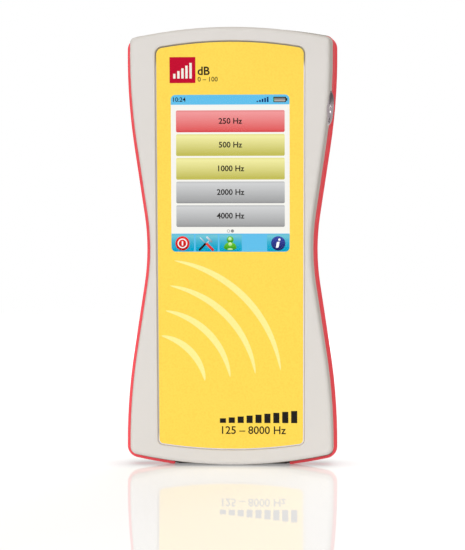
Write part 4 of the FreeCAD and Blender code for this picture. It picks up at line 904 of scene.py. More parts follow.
class Tree(Graph):
    """The graph of a new geometry node tree. Its inputs are lengths, turns or shares, apart from Count."""

    def __init__(self, name, *labels):
        super().__init__(bpy.data.node_groups.new(name, "GeometryNodeTree"))
        sockets = self.tree.interface
        for label in ("Geometry", *labels, "Finish"):
            kind = TREE_SOCKETS.get(label, "NodeSocketFloat")
            sockets.new_socket(label, in_out="INPUT", socket_type=kind)
        sockets.new_socket("Geometry", in_out="OUTPUT", socket_type=TREE_SOCKETS["Geometry"])
        self.given = self.add("NodeGroupInput").outputs

    def ended(self, geometry):
        """The tree itself, after it is ended in real geometry with its finish."""
        real = self.add("GeometryNodeRealizeInstances", {"Geometry": geometry})
        sockets = {"Geometry": real, "Material": self.given["Finish"]}
        self.add("NodeGroupOutput", {"Geometry": self.add("GeometryNodeSetMaterial", sockets)})
        return self.tree

    def position(self):
        """X, Y and Z of each point."""
        return self.split(self.add("GeometryNodeInputPosition"))

    def put(self, geometry, place):
        return self.add("GeometryNodeSetPosition", {"Geometry": geometry, "Position": place})

    def store(self, geometry, name, value):
        """Keeps a number for each point under a name."""
        sockets = {"Geometry": geometry, "Name": name, "Value": value}
        return self.add("GeometryNodeStoreNamedAttribute", sockets, data_type="FLOAT")

    def together(self, *parts):
        both = self.add("GeometryNodeJoinGeometry")
        for part in parts:
            self.feed(both.inputs[0], part)
        return both

    def thick(self, faces):
        """Closed plates of the tree's thickness, out of flat faces that look along Z."""
        raised = self.add("GeometryNodeExtrudeMesh", {
            "Mesh": faces, "Offset": (0.0, 0.0, 1.0), "Offset Scale": self.given["Thickness"],
            "Individual": False,
        })
        both = self.together(raised.outputs["Mesh"], self.add("GeometryNodeFlipFaces", {"Mesh": faces}))
        return self.add("GeometryNodeMergeByDistance", {"Geometry": both, "Distance": 1e-7})

    def copies(self, piece, step, scale=(1.0, 1.0, 1.0)):
        """The tree's count of copies of a piece, in a straight line with equal steps."""
        line = self.add("GeometryNodeMeshLine", {"Count": self.given["Count"], "Offset": step})
        sockets = {"Points": line, "Instance": piece, "Scale": scale}
        return self.add("GeometryNodeInstanceOnPoints", sockets)


def grown(made_tree, **values):
    """The plain mesh that a tree makes from its input values."""
    holder = in_scene("holder", bpy.data.meshes.new("seed"))
    modifier = holder.modifiers.new("Grown", "NODES")
    modifier.node_group = made_tree
    named = spaced(values)
    for item in made_tree.interface.items_tree:
        if item.in_out == "INPUT" and item.name in named:
            modifier[item.identifier] = named.pop(item.name)
    if named:
        raise RuntimeError(f"{made_tree.name} has no input {', '.join(named)}")
    mesh = evaluated(holder)
    if not mesh.polygons:
        raise RuntimeError(f"{made_tree.name} made no faces")
    return mesh


def tile_tree():
    """A line of rounded tiles, with the attribute rise from each tile's foot to its top."""
    graph = Tree("Rounded tiles", "Count", "Width", "Height", "Corner", "Pitch X", "Pitch Y", "Thickness")
    width, height = graph.given["Width"], graph.given["Height"]
    edge = graph.add("GeometryNodeCurvePrimitiveQuadrilateral", {"Width": width, "Height": height})
    sockets = {"Curve": edge, "Count": 6, "Radius": graph.given["Corner"]}
    bent = graph.add("GeometryNodeFilletCurve", sockets, mode="POLY")
    plate = graph.thick(graph.add("GeometryNodeFillCurve", {"Curve": bent}))
    half = graph.times(height, 0.5)
    rise = graph.spread(graph.position()["Y"], graph.times(half, -1.0), half)
    step = graph.xyz(X=graph.given["Pitch X"], Y=graph.times(graph.given["Pitch Y"], -1.0))
    return graph.ended(graph.copies(graph.store(plate, "rise", rise), step))


def level_tree():
    """A row of upright bars on one foot line, whose height grows by a fixed step."""
    graph = Tree("Level bars", "Count", "Width", "Pitch", "First", "Step", "Thickness")
    bar = graph.add("GeometryNodeMeshGrid", {
        "Size X": graph.given["Width"], "Size Y": 1.0, "Vertices X": 2, "Vertices Y": 2,
    })
    lifted = graph.add("GeometryNodeTransform", {"Geometry": bar, "Translation": (0.0, 0.5, 0.0)})
    number = graph.add("GeometryNodeInputIndex")
    tall = graph.plus(graph.given["First"], graph.times(number, graph.given["Step"]))
    step, sized = graph.xyz(X=graph.given["Pitch"]), graph.xyz(X=1.0, Y=tall, Z=1.0)
    return graph.ended(graph.copies(graph.thick(lifted), step, sized))


def arc_tree():
    """Sound arcs around one middle: flat bands that run thin at their ends."""
    graph = Tree("Sound arcs", "Count", "Radius", "Pitch", "Width", "From", "Sweep", "Thickness")
    given = graph.given
    points_along, taper, least_width = 65, 0.6, 0.04
    band = graph.add("GeometryNodeMeshGrid", {
        "Size X": 1.0, "Size Y": 1.0, "Vertices X": points_along, "Vertices Y": 2,
    })
    middles = graph.add("GeometryNodeMeshLine", {"Count": given["Count"], "Offset": (0.0, 0.0, 0.0)})
    numbered = graph.store(middles, "ring", graph.add("GeometryNodeInputIndex"))
    many = graph.add("GeometryNodeInstanceOnPoints", {"Points": numbered, "Instance": band})
    real = graph.add("GeometryNodeRealizeInstances", {"Geometry": many})
    ring = graph.add("GeometryNodeInputNamedAttribute", {"Name": "ring"}, data_type="FLOAT").outputs[0]
    place = graph.position()
    along = graph.plus(place["X"], 0.5)
    fade = graph.maths("POWER", graph.maths("SINE", graph.times(along, math.pi)), taper)
    wide = graph.times(given["Width"], graph.plus(fade, least_width))
    middle = graph.plus(given["Radius"], graph.times(ring, given["Pitch"]))
    away = graph.minus(middle, graph.times(place["Y"], wide))
    turn = graph.plus(given["From"], graph.times(along, given["Sweep"]))
    x, y = (graph.times(away, graph.maths(way, turn)) for way in ("COSINE", "SINE"))
    return graph.ended(graph.thick(graph.put(real, graph.xyz(X=x, Y=y))))


def net_tree():
    """A round woven net: wires both ways that pass over and under each other."""
    graph = Tree("Woven net", "Radius", "Pitch", "Wire")
    radius, pitch = graph.given["Radius"], graph.given["Pitch"]
    thin = graph.times(graph.given["Wire"], 0.5)
    least_gap = 0.3  # pitches between the outermost wire and the rim
    each_side = graph.maths("FLOOR", graph.minus(graph.over(radius, pitch), least_gap))
    wires = graph.plus(graph.times(each_side, 2.0), 1.0)
    ways = []
    for way in (0, 1):
        line = graph.add("GeometryNodeCurvePrimitiveLine", {
            "Start": (0.0, -0.5, 0.0), "End": (0.0, 0.5, 0.0),
        })
        cut = graph.add("GeometryNodeResampleCurve", {"Curve": line, "Count": graph.times(wires, 2.0)})
        sockets = {"Geometry": cut, "Amount": wires}
        rows = graph.add("GeometryNodeDuplicateElements", sockets, domain="SPLINE")
        numbered = graph.add("GeometryNodeCaptureAttribute", {"Geometry": rows.outputs["Geometry"]})
        numbered.capture_items.new("FLOAT", "Number")
        graph.feed(numbered.inputs["Number"], graph.minus(rows.outputs["Duplicate Index"], each_side))
        number = numbered.outputs["Number"]
        off = graph.times(number, pitch)
        reach = graph.maths("SQRT", graph.minus(graph.times(radius, radius), graph.times(off, off)))
        along = graph.times(graph.position()["Y"], graph.times(reach, 2.0))
        phase = graph.plus(graph.over(along, pitch), graph.plus(number, way))
        lift = graph.times(graph.maths("COSINE", graph.times(phase, math.pi)), thin)
        bent = graph.put(numbered, graph.xyz(X=off, Y=along, Z=lift))
        ring = graph.add("GeometryNodeCurvePrimitiveCircle", {"Radius": thin, "Resolution": 6})
        wire = graph.add("GeometryNodeCurveToMesh", {"Curve": bent, "Profile Curve": ring, "Fill Caps": True})
        sockets = {"Geometry": wire, "Rotation": (0.0, 0.0, way * math.pi / 2)}
        ways.append(graph.add("GeometryNodeTransform", sockets))
    return graph.ended(graph.together(*ways))


# --- operators ------------------------------------------------------------------------------------------


class AUDIOMETER_OT_shells(bpy.types.Operator):
    """Dress the shells, the seal, the grips, the battery door and the pads"""

    bl_idname = "audiometer.shells"
    bl_label = "Shells and grips"

    def execute(self, context):
        dress("front_shell", "rear_shell", "battery_door", "seam_gasket", "door_seal")
        dress("grip_left", "grip_right", "back_feet")
        case = settings("audiometer_case")
        self.make_pad(case)
        shell = skin("front_shell")
        for name, side in (("left", -1), ("right", 1)):
            self.make_lip(case, shell, name, side)
        return {"FINISHED"}

    def make_lip(self, case, shell, name, side):
        """A grip's thin lip, which hides the seam: it runs up the side wall and round the upper corner."""
        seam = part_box(f"grip_{name}")[0].y
        shell_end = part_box("front_shell")[1].y - 0.15 * MM
        button_low, button_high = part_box("power_button")
        dish = (button_low + button_high) / 2
        dish_reach = 11.0 * MM
        corner_x, corner_z = 38.0 * MM, 193.0 * MM
        corner_turn, corner_steps = math.radians(57.0), 16
        sunk, rounding, overlap = 0.15 * MM, 0.08 * MM, 0.1 * MM
        narrowing, thinning = 9, 12  # stations before the lip's upper end
        clear_up, clear_back = 0.9 * MM, 0.4 * MM  # gaps between the lip and the bezel
        outside = 0.1

        def on_wall(base, out, y):
            """Where a line towards the case meets its wall, interpolated across the dish."""
            if side > 0 and out.z == 0.0 and abs(base.z - dish.z) < dish_reach and y > dish.y:
                share = ((base.z - dish.z) / dish_reach + 1) / 2
                ends = (Vector((0.0, 0.0, dish.z + way * dish_reach)) for way in (-1, 1))
                under, over = (on_wall(end, out, y) for end in ends)
                met = under.lerp(over, share)
                return Vector((met.x, met.y, base.z))
            start = base + out * outside
            start.y = min(y, shell_end)
            met = shell.ray_cast(start, -out)[0]
            return Vector((met.x, y, met.z))

        # the lip's stations, from the foot to the corner and closer together beside the dish
        heights = [z * MM for z in range(4, 194, 3)]
        heights += [dish.z + z * 0.5 * MM for z in range(-22, 23)]
        stations = [(Vector((0.0, 0.0, z)), Vector((side, 0.0, 0.0)), z) for z in sorted(heights)]
        corner = Vector((side * corner_x, 0.0, corner_z))
        for i in range(1, corner_steps + 1):
            turn = corner_turn * i / corner_steps
            stations.append((corner, Vector((side * math.cos(turn), 0.0, math.sin(turn))), corner_z))

        sections = []
        for number, (base, out, height) in enumerate(stations):
            to_end = len(stations) - 1 - number
            wide = case.lip_foot + (case.lip_top - case.lip_foot) * height / corner_z
            wide *= min(1.0, 0.15 + to_end / narrowing)
            front = shell_end - wide
            proud = min(1.0, 0.2 + to_end / thinning)
            beside = (base.z - dish.z) / (case.bezel_height / 2 + clear_up)
            if side > 0 and out.z == 0.0 and abs(beside) < 1:
                bezel_room = math.sqrt(1 - beside ** 2) * (case.bezel_depth / 2 + clear_back)
                front = max(front, dish.y + bezel_room)
                if front > seam - overlap:
                    front, proud = seam - overlap, 0.0
            edge, back = front + rounding, seam + overlap
            spots = [(front, -sunk), (front, case.lip_edge * 0.5 * proud), (edge, case.lip_edge * proud)]
            for share in (0.25, 0.5, 0.75, 1.0):
                stand = case.lip_edge + (case.lip_back - case.lip_edge) * math.sin(share * math.pi / 2)
                spots.append((edge + (back - edge) * share, stand * proud))
            spots.append((back, -sunk))
            sections.append([on_wall(base, out, y) + out * stand for y, stand in spots])
        rubber = finish("grip_rubber")
        shown(f"grip_lip_{name}", tube(sections, False), rubber, sharp=60.0)

    def make_pad(self, case):
        """A ribbed pad under the case, which meets the grips' ends; its dark length past the frame's feet
        stands in for painted shadow under the case.
        """
        low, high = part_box("bottom_feet")
        middle = (low + high) / 2
        wide, deep = high.x - low.x + 2 * case.pad_shadow_spare, high.y - low.y
        rib_under, first_rib = 0.3 * MM, 5.95 * MM
        rubber = finish("foot_rubber")
        ribs = grown(
            tile_tree(), Count=8, Width=wide - 3.0 * MM, Height=1.1 * MM, Corner=0.5 * MM, Pitch_X=0.0,
            Pitch_Y=1.7 * MM, Thickness=0.4 * MM, Finish=rubber,
        )
        body = slab([round_rect(wide, deep, 2.0 * MM)], high.z - low.z - rib_under)
        pad = joined([(body, at(middle.x, middle.y, rib_under)), (ribs, at(middle.x, middle.y + first_rib))])
        obj = shown("bottom_pad", pad, rubber)
        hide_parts("bottom_feet")


class AUDIOMETER_OT_overlay(bpy.types.Operator):
    """Dress the overlay and print the badge, the sound arcs and the level scale on it"""

    bl_idname = "audiometer.overlay"
    bl_label = "Overlay and print"

    def execute(self, context):
        dress("front_overlay")
        face, sheet = settings("audiometer_face"), settings("audiometer_print")
        self.ink = face.ink
        self.on_print = face_matrix(face.print_depth)
        black = printed("Black ink", sheet.ink, "#34302a", 0.4, 0.45)
        white = printed("White ink", "#f4f1ea", "#e4e0d8", 0.3, 0.45)
        self.make_film_edge()
        self.make_arcs(sheet)
        badge = slab([round_rect(sheet.badge_width, sheet.badge_width, 0.0)], self.ink)
        crimson = printed("Crimson ink", sheet.badge, "#a40326", 0.3, 0.45)
        self.lay("badge", badge, crimson, at(sheet.badge_x, sheet.badge_up))
        bars = level_tree()
        marks = grown(
            bars, Count=5, Width=1.1 * MM, Pitch=1.9 * MM, First=2.2 * MM, Step=1.25 * MM, Thickness=self.ink,
            Finish=white,
        )
        corner = at(sheet.badge_x - 3.8 * MM, sheet.badge_up - 3.9 * MM, self.ink)
        self.lay("badge_bars", marks, white, corner)
        scale = grown(
            bars, Count=sheet.scale_count, Width=sheet.scale_width, Pitch=sheet.scale_pitch, First=2.2 * MM,
            Step=0.45 * MM, Thickness=self.ink, Finish=black,
        )
        printed_words = [(scale, at(sheet.scale_x + sheet.scale_width / 2, sheet.scale_up))]
        for words, size, weight, x, up in (
            ("125 – 8000 Hz", 5.2 * MM, 0.06 * MM, sheet.scale_x, sheet.scale_up - 3.6 * MM),
            ("dB", 5.4 * MM, 0.12 * MM, -15.2 * MM, sheet.badge_up - 0.6 * MM),
            ("0 – 100", 3.1 * MM, 0.03 * MM, -15.1 * MM, sheet.badge_up - 4.4 * MM),
        ):
            printed_words.append((lettering(words, size, self.ink, "LEFT", weight), at(x, up)))
        self.lay("numbers", joined(printed_words), black)
        return {"FINISHED"}

    def lay(self, name, mesh, ink, place=at(0.0, 0.0)):
        """Prints a flat mesh on the overlay, at a place across and up the face."""
        mesh.transform(self.on_print @ place)
        shown(name, mesh, ink)

    def make_film_edge(self):
        """The overlay's cut edge: a clear ring that reaches over the pocket's gap, so that its painted light
        covers the gap's shadow.
        """
        over = 0.12 * MM
        edge = outer_edge("front_overlay", self.on_print.inverted())
        rim = slab([inset(edge, -over)], self.ink, inset(edge, settings("audiometer_case").film_edge))
        self.lay("film_edge", rim, cut_edge_finish())

    def make_arcs(self, sheet):
        """The pale arcs that spread from the overlay's lower left corner."""
        pale = printed("Pale ink", sheet.pale, "#ffe57a", 0.3)
        arcs = grown(
            arc_tree(), Count=sheet.arc_count, Radius=sheet.arc_radius, Pitch=sheet.arc_pitch,
            Width=sheet.arc_width, From=math.radians(8.0), Sweep=math.radians(72.0), Thickness=self.ink,
            Finish=pale,
        )
        self.lay("sound_arcs", arcs, pale, at(sheet.arc_x, sheet.arc_up))


class AUDIOMETER_OT_screen(bpy.types.Operator):
    """Make the picture on the touch display: status bar, keys, toolbar and icons"""

    bl_idname = "audiometer.screen"
    bl_label = "Display and its picture"

    def execute(self, context):
        dress("touch_glass", "display_gasket", "lcd_panel", "backlight", "display_bracket_left")
        dress("display_bracket_right", "lcd_ribbon", "ribbon_plug")
        face, look = settings("audiometer_face"), settings("audiometer_screen")
        self.ink = face.ink
        self.half = face.window_width / 2
        self.top = face.window_top
        self.on_screen = face_matrix(face.screen_depth)
        self.make_bars(face, look)
        self.make_keys(look)
        self.make_icons(look)
        self.make_status(look)
        return {"FINISHED"}

    def lay(self, name, pieces, layer, glow):
        """Puts flat meshes on a layer of the picture; places are measured from the window's top middle."""
        whole = joined(pieces)
        whole.transform(self.on_screen @ at(0.0, self.top, layer * self.ink))
        shown(name, whole, glow)

    def flat(self, outline, x, y, hole=None):
        """A slab as thick as a layer, and its place."""
        return slab([outline], self.ink, hole), at(x, y)

    def make_bars(self, face, look):
        """The white background, the bars at its top and foot, and the tiles of the toolbar."""
        over, corner = 0.8 * MM, 0.7 * MM
        width, height = face.window_width + 2 * over, face.window_height + 2 * over
        paper = self.flat(round_rect(width, height, face.window_corner), 0.0, -face.window_height / 2)
        self.lay("screen_paper", [paper], 0, lit("Screen paper", look.paper))
        low = face.window_height - look.tool_drop
        status = round_rect(width, look.status_height + over, 0.0)
        tools = round_rect(width, low + over, 0.0)
        bars = [
            self.flat(status, 0.0, (over - look.status_height) / 2),
            self.flat(tools, 0.0, -look.tool_drop - (low + over) / 2),
        ]
        self.lay("screen_bars", bars, 1, lit("Screen bar", look.sky))
        tiles = tile_tree()
        teal = lit("Teal tile", look.teal_low, look.teal_top, "#0094b8", 2.3)
        middle = -look.tool_drop - low / 2 - 0.1 * MM
        placed = []
        for how_many, x in (
            (3, -self.half + look.tool_width / 2 + 0.05 * MM),
            (1, self.half - look.tool_width / 2 - 0.15 * MM),
        ):
            row = grown(
                tiles, Count=how_many, Width=look.tool_width, Height=low - 0.5 * MM, Corner=corner,
                Pitch_X=look.tool_pitch, Pitch_Y=0.0, Thickness=self.ink, Finish=teal,
            )
            placed.append((row, at(x, middle)))
        self.lay("tool_tiles", placed, 2, teal)

    def make_keys(self, look):
        """The keys, each with the label of its frequency, and the clock."""
        tiles = tile_tree()
        drops = [look.key_drop + look.key_height / 2 + number * look.key_pitch for number in range(5)]
        for name, first, how_many, low, high, rim in (
            ("key_red", 0, 1, look.red_low, look.red_top, "#d23c40"),
            ("keys_olive", 1, 2, look.olive_low, look.olive_top, "#c9c25c"),
            ("keys_grey", 3, 2, look.grey_low, look.grey_top, "#8d8d8d"),
        ):
            glow = lit(name.replace("_", " ").capitalize(), low, high, rim)
            keys = grown(
                tiles, Count=how_many, Width=look.key_width, Height=look.key_height, Corner=look.key_corner,
                Pitch_X=0.0, Pitch_Y=look.key_pitch, Thickness=self.ink, Finish=glow,
            )
            self.lay(name, [(keys, at(0.0, -drops[first]))], 1, glow)
        labels = []
        for drop, words in zip(drops, ("250 Hz", "500 Hz", "1000 Hz", "2000 Hz", "4000 Hz")):
            label = lettering(words, look.text_height * 1.25, self.ink, weight=0.08 * MM)
            labels.append((label, at(0.0, -drop)))
        clock = lettering("10:24", 2.9 * MM, self.ink, "LEFT", 0.05 * MM)
        labels.append((clock, at(-self.half + 0.5 * MM, -look.status_height / 2)))
        self.lay("screen_labels", labels, 2, lit("Label ink", "#1f1c1a"))

    def make_icons(self, look):
        """The toolbar's icons. Their sizes are shares of an icon's radius, and turns are in degrees."""
        r = look.icon_radius
        drop = -look.icon_drop
        first = -self.half + look.tool_width / 2 - 0.15 * MM
        stop, tools, person = (first + i * look.tool_pitch for i in range(3))
        info = self.half - look.tool_width / 2 - 0.15 * MM

        def slanted(width, height, turn, x, y):
            bar = round_rect(width * r, height * r, min(width, height) * 0.3 * r)
            mesh, place = self.flat(bar, tools + x * r, drop + y * r)
            return mesh, place @ Matrix.Rotation(math.radians(turn), 4, "Z")

        stroke = (0.20, 0.22), (0.06, -0.50), (-0.05, -0.62), (-0.34, -0.62), (-0.22, 0.10), (-0.08, 0.22)
        letter = [circle(0.17 * r, 0.16 * r, 0.52 * r, 20), [(x * r, y * r) for x, y in stroke]]
        shoulders = [
            (0.90 * r * math.cos(turn), (-0.62 + (0.80 if turn < math.pi else 0.36) * math.sin(turn)) * r)
            for turn in full_turn(40)
        ]
        gleams = [circle(0.24 * r, -0.04 * r, 0.62 * r), circle(0.26 * r, 0.0, -0.12 * r)]
        gleams.append([(0.38 * x, -0.82 * r + 0.12 * y) for x, y in circle(r)])
        figure = slab([circle(0.48 * r, 0.0, 0.52 * r), shoulders], self.ink)
        shine = slab(gleams, self.ink)
        white = [
            self.flat(circle(0.68 * r), stop, drop, circle(0.53 * r)),
            self.flat(round_rect(0.2 * r, 0.62 * r, 0.09 * r), stop, drop),
            (slab(letter, self.ink), at(info, drop)),
        ]
        steel = [
            slanted(0.12, 1.15, 45, -0.48, 0.42), slanted(0.26, 1.10, 45, 0.42, 0.55),
            slanted(0.14, 0.60, -45, 0.12, 0.08),
        ]
        for name, layer, pieces, *glows in (
            ("stop_disc", 3, [self.flat(circle(r), stop, drop)], "Stop red", "#b40a0a", "#f03028"),
            ("icon_white", 4, white, "Icon white", "#fbfbfb"),
            ("info_disc", 3, [self.flat(circle(r), info, drop)], "Info navy", "#161a58", "#3a4aa8"),
            ("tool_black", 3, [slanted(0.30, 1.35, -45, -0.55, -0.50)], "Handle black", "#1a1414"),
            ("tool_red", 3, [slanted(0.34, 1.45, 45, 0.50, -0.50)], "Handle red", "#d01810", "#f04a3a"),
            ("tool_steel", 3, steel, "Tool steel", "#6c7f92", "#dfe6ec"),
            ("person", 3, [(figure, at(person, drop))], "Person green", "#1b8a12", "#74cc34"),
            ("person_shine", 4, [(shine, at(person, drop))], "Person light", "#9ad862", "#e0f4c8"),
        ):
            self.lay(name, pieces, layer, lit(*glows))

    def make_status(self, look):
        """The page marks over the toolbar, and the battery and the signal in the status bar."""
        pager, ring = -63.7 * MM, 0.72 * MM
        status = -look.status_height / 2
        battery = self.half - 4.6 * MM
        pages = [
            self.flat(circle(ring), -1.0 * MM, pager, circle(ring - 0.2 * MM)),
            self.flat(circle(0.75 * MM), 0.85 * MM, pager),
        ]
        case = [
            self.flat(round_rect(6.0 * MM, 2.5 * MM, 0.3 * MM), battery, status),
            self.flat(round_rect(0.8 * MM, 1.2 * MM, 0.3 * MM), battery + 3.2 * MM, status),
        ]
        charge = [self.flat(round_rect(5.2 * MM, 1.8 * MM, 0.1 * MM), battery, status)]
        sliver = [self.flat(round_rect(0.4 * MM, 1.8 * MM, 0.0), battery - 2.75 * MM, status)]
        for name, layer, pieces, *glows in (
            ("page_marks", 1, pages, "Page grey", "#8c8c8c"),
            ("battery_outline", 2, case, "Battery black", "#14120f"),
            ("battery_fill", 3, charge, "Battery grey", "#bcb8b4", "#605c58"),
            ("battery_sliver", 4, sliver, "Battery green", "#2d8a24"),
        ):
            self.lay(name, pieces, layer, lit(*glows))
        navy = lit("Signal blue", "#0a2a68")
        signal = grown(
            level_tree(), Count=5, Width=0.75 * MM, Pitch=1.2 * MM, First=0.6 * MM, Step=0.45 * MM,
            Thickness=self.ink, Finish=navy,
        )
        self.lay("signal", [(signal, at(battery - 10.4 * MM, status - 1.2 * MM))], 2, navy)


class AUDIOMETER_OT_button(bpy.types.Operator):
    """Turn the power button and dress the dish around it and the switch behind it"""

    bl_idname = "audiometer.button"
    bl_label = "Power button"

    # the cap's profile: millimetres down from the crown and in from the cap's radius
    CAP = (
        (3.9, 0.0), (0.95, 0.0), (0.72, 0.06), (0.58, 0.22), (0.42, 0.9), (0.38, 1.15), (0.52, 1.2),
        (0.52, 1.45), (0.32, 1.5), (0.18, 2.4), (0.06, 3.6), (0.0, 4.8),
    )
    # the bezel's section: millimetres across and up, and the share of its stand over the wall
    BEZEL = (
        (-0.45, -2.3, 0.0), (-0.6, -0.6, 0.0), (-0.5, 0.0, 0.5), (-0.25, 0.0, 0.9), (0.0, 0.0, 1.0),
        (0.2, 0.0, 0.85), (0.35, 0.0, 0.4), (0.45, -0.1, 0.0), (0.45, -0.9, 0.0), (0.1, -2.3, 0.0),
    )

    def execute(self, context):
        dress("button_trim", "switch_body", "switch_plunger")
        low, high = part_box("power_button")
        middle = (low + high) / 2
        long = high.x - low.x
        stem, flange = 1.6 * MM, (high.y - low.y) / 2
        cap, bevel, tip = flange - 0.9 * MM, 0.1 * MM, 0.15 * MM
        behind, before = long - 4.8 * MM, long - 3.9 * MM  # the flange's two faces
        profile = [
            (0.0, 0.0), (0.0, stem - tip), (tip, stem), (behind, stem), (behind, flange - bevel),
            (behind + bevel, flange), (before - bevel, flange), (before, flange - bevel),
        ]
        profile += [(long - down * MM, cap - inwards * MM) for down, inwards in self.CAP]
        profile.append((long, 0.0))
        place = Matrix.Translation((low.x, middle.y, middle.z)) @ Matrix.Rotation(math.pi / 2, 4, "Y")
        mesh = lathe(profile, place, 64)
        obj = shown("power_button_cap", mesh, finish("button_metal"), "button", 30.0)
        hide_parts("power_button")
        self.make_mark(Vector((high.x, middle.y, middle.z)))
        self.make_bezel(middle, settings("audiometer_case"))
        return {"FINISHED"}

    def make_mark(self, crown):
        """The usual on-off mark, printed on the button's crown: an open ring with a bar in its gap."""
        gap, steps = math.radians(32.0), 40
        turns = [math.pi / 2 + gap + (2 * math.pi - 2 * gap) * i / steps for i in range(steps + 1)]
        ring = arc(1.55 * MM, turns) + arc(1.2 * MM, turns)[::-1]
        mark = slab([ring, round_rect(0.35 * MM, 1.5 * MM, 0.1 * MM, 0.0, 1.15 * MM)], 0.02 * MM)
        facing = Matrix(((0.0, 0.0, 1.0), (1.0, 0.0, 0.0), (0.0, 1.0, 0.0))).to_4x4()
        mark.transform(Matrix.Translation(crown) @ facing)
        ink = printed("Mark ink", "#f2efe9", "#dcd8d0", 0.3, 0.4)
        shown("power_mark", mark, ink, "button")

    def make_bezel(self, middle, case):
        """A flat shell surround of the dish, and an oval metal bezel on it that rises beside the grip."""
        shell = skin("front_shell")
        shell_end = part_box("front_shell")[1].y - 0.2 * MM
        front = shell_end - 18.4 * MM
        notch = 6.0 * MM
        buried, lifted, rounding = -1.2 * MM, 0.1 * MM, 0.6 * MM
        steps = 96
        arms = [Vector((0.0, math.cos(turn), math.sin(turn))) for turn in full_turn(steps)]

        def shell_x(y, z):
            return shell.ray_cast(Vector((1.0, min(y, shell_end), z)), Vector((-1.0, 0.0, 0.0)))[0].x

        rim, reaches = [], []
        for arm in arms:
            reach = min(case.surround, (middle.y - front) / max(-arm.y, 1e-6))
            point = middle + arm * reach
            if point.y < shell_end or abs(point.z - middle.z) > notch:
                rim.append(shell_x(point.y, point.z))
            else:
                below, above = (shell_x(shell_end, middle.z + way * notch) for way in (-1, 1))
                rim.append(below + (above - below) * ((point.z - middle.z) / notch + 1) / 2)
            reaches.append(reach)

        def wall(number, across, up):
            """A point over the wall at a distance from the dish's middle along an arm."""
            opposite = (number + steps // 2) % steps
            share = (across + reaches[opposite]) / (reaches[number] + reaches[opposite])
            place = middle + arms[number] * across
            return Vector((rim[opposite] + (rim[number] - rim[opposite]) * share + up, place.y, place.z))

        shift = Vector((0.0, -case.bezel_forward, -case.bezel_low))
        flat, oval = [], []
        for number, (arm, reach) in enumerate(zip(arms, reaches)):
            crest = 1 / math.hypot(arm.y / (case.bezel_depth / 2), arm.z / (case.bezel_height / 2))
            stand = case.bezel_stand + case.bezel_rise * max(0.0, arm.y) ** 2
            oval.append([
                wall(number, crest + across * MM, up * MM + share * stand) + shift
                for across, up, share in self.BEZEL
            ])
            inside = min(crest, reach - 0.8 * MM) - 0.2 * MM
            flat.append([
                wall(number, across, up) for across, up in (
                    (inside, buried), (inside, lifted), (reach - rounding, lifted), (reach, -0.03 * MM),
                    (reach, buried),
                )
            ])
        shown("dish_bezel", tube(oval), finish("trim_metal"))
        shown("dish_surround", tube(flat), finish("shell_plastic"))


class AUDIOMETER_OT_sockets(bpy.types.Operator):
    """Dress the sockets on the upper end with their rings, contacts and nuts"""

    bl_idname = "audiometer.sockets"
    bl_label = "Sockets"

    def execute(self, context):
        for side in ("left", "middle", "right"):
            dress(f"socket_{side}", f"socket_ring_{side}")
        dress("connector_panel", "socket_inserts", "socket_contacts", "socket_nuts")
        dress("socket_board", "socket_link")
        return {"FINISHED"}


class AUDIOMETER_OT_ports(bpy.types.Operator):
    """Dress the charger jack and the data port on the lower end"""

    bl_idname = "audiometer.ports"
    bl_label = "Ports"

    def execute(self, context):
        dress("power_jack", "jack_pin", "data_port_base", "data_port", "data_tongue")
        return {"FINISHED"}


class AUDIOMETER_OT_boards(bpy.types.Operator):
    """Dress the boards, their chips and the links between them"""

    bl_idname = "audiometer.boards"
    bl_label = "Boards"

    def execute(self, context):
        dress("main_board", "main_board_chips", "shield_can", "coin_cell_holder", "coin_cell", "board_link")
        dress("amplifier_board", "amplifier_chips", "amplifier_spacers")
        return {"FINISHED"}


class AUDIOMETER_OT_fasteners(bpy.types.Operator):
    """Dress the screws and the threaded inserts"""

    bl_idname = "audiometer.fasteners"
    bl_label = "Fasteners"

    def execute(self, context):
        dress("case_screws", "board_screws", "amplifier_screws", "door_screws", "threaded_inserts")
        return {"FINISHED"}


class AUDIOMETER_OT_battery(bpy.types.Operator):
    """Dress the cells and their contacts"""

    bl_idname = "audiometer.battery"
    bl_label = "Battery"

    def execute(self, context):
        dress("battery_cells", "battery_contacts")
        return {"FINISHED"}


class AUDIOMETER_OT_speaker(bpy.types.Operator):
    """Weave the dust net and dress the loudspeaker"""

    bl_idname = "audiometer.speaker"
    bl_label = "Loudspeaker"

    def execute(self, context):
        dress("speaker_frame", "speaker_magnet", "speaker_cone", "speaker_gasket")
        low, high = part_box("speaker_mesh")
        wire = finish("speaker_mesh")
        net = grown(
            net_tree(), Radius=(high.x - low.x) / 2, Pitch=0.8 * MM, Wire=(high.y - low.y) / 2, Finish=wire
        )
        net.transform(Matrix.Translation((low + high) / 2) @ Matrix.Rotation(math.pi / 2, 4, "X"))
        obj = shown("speaker_net", net, wire, sharp=80.0)
        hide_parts("speaker_mesh")
        return {"FINISHED"}


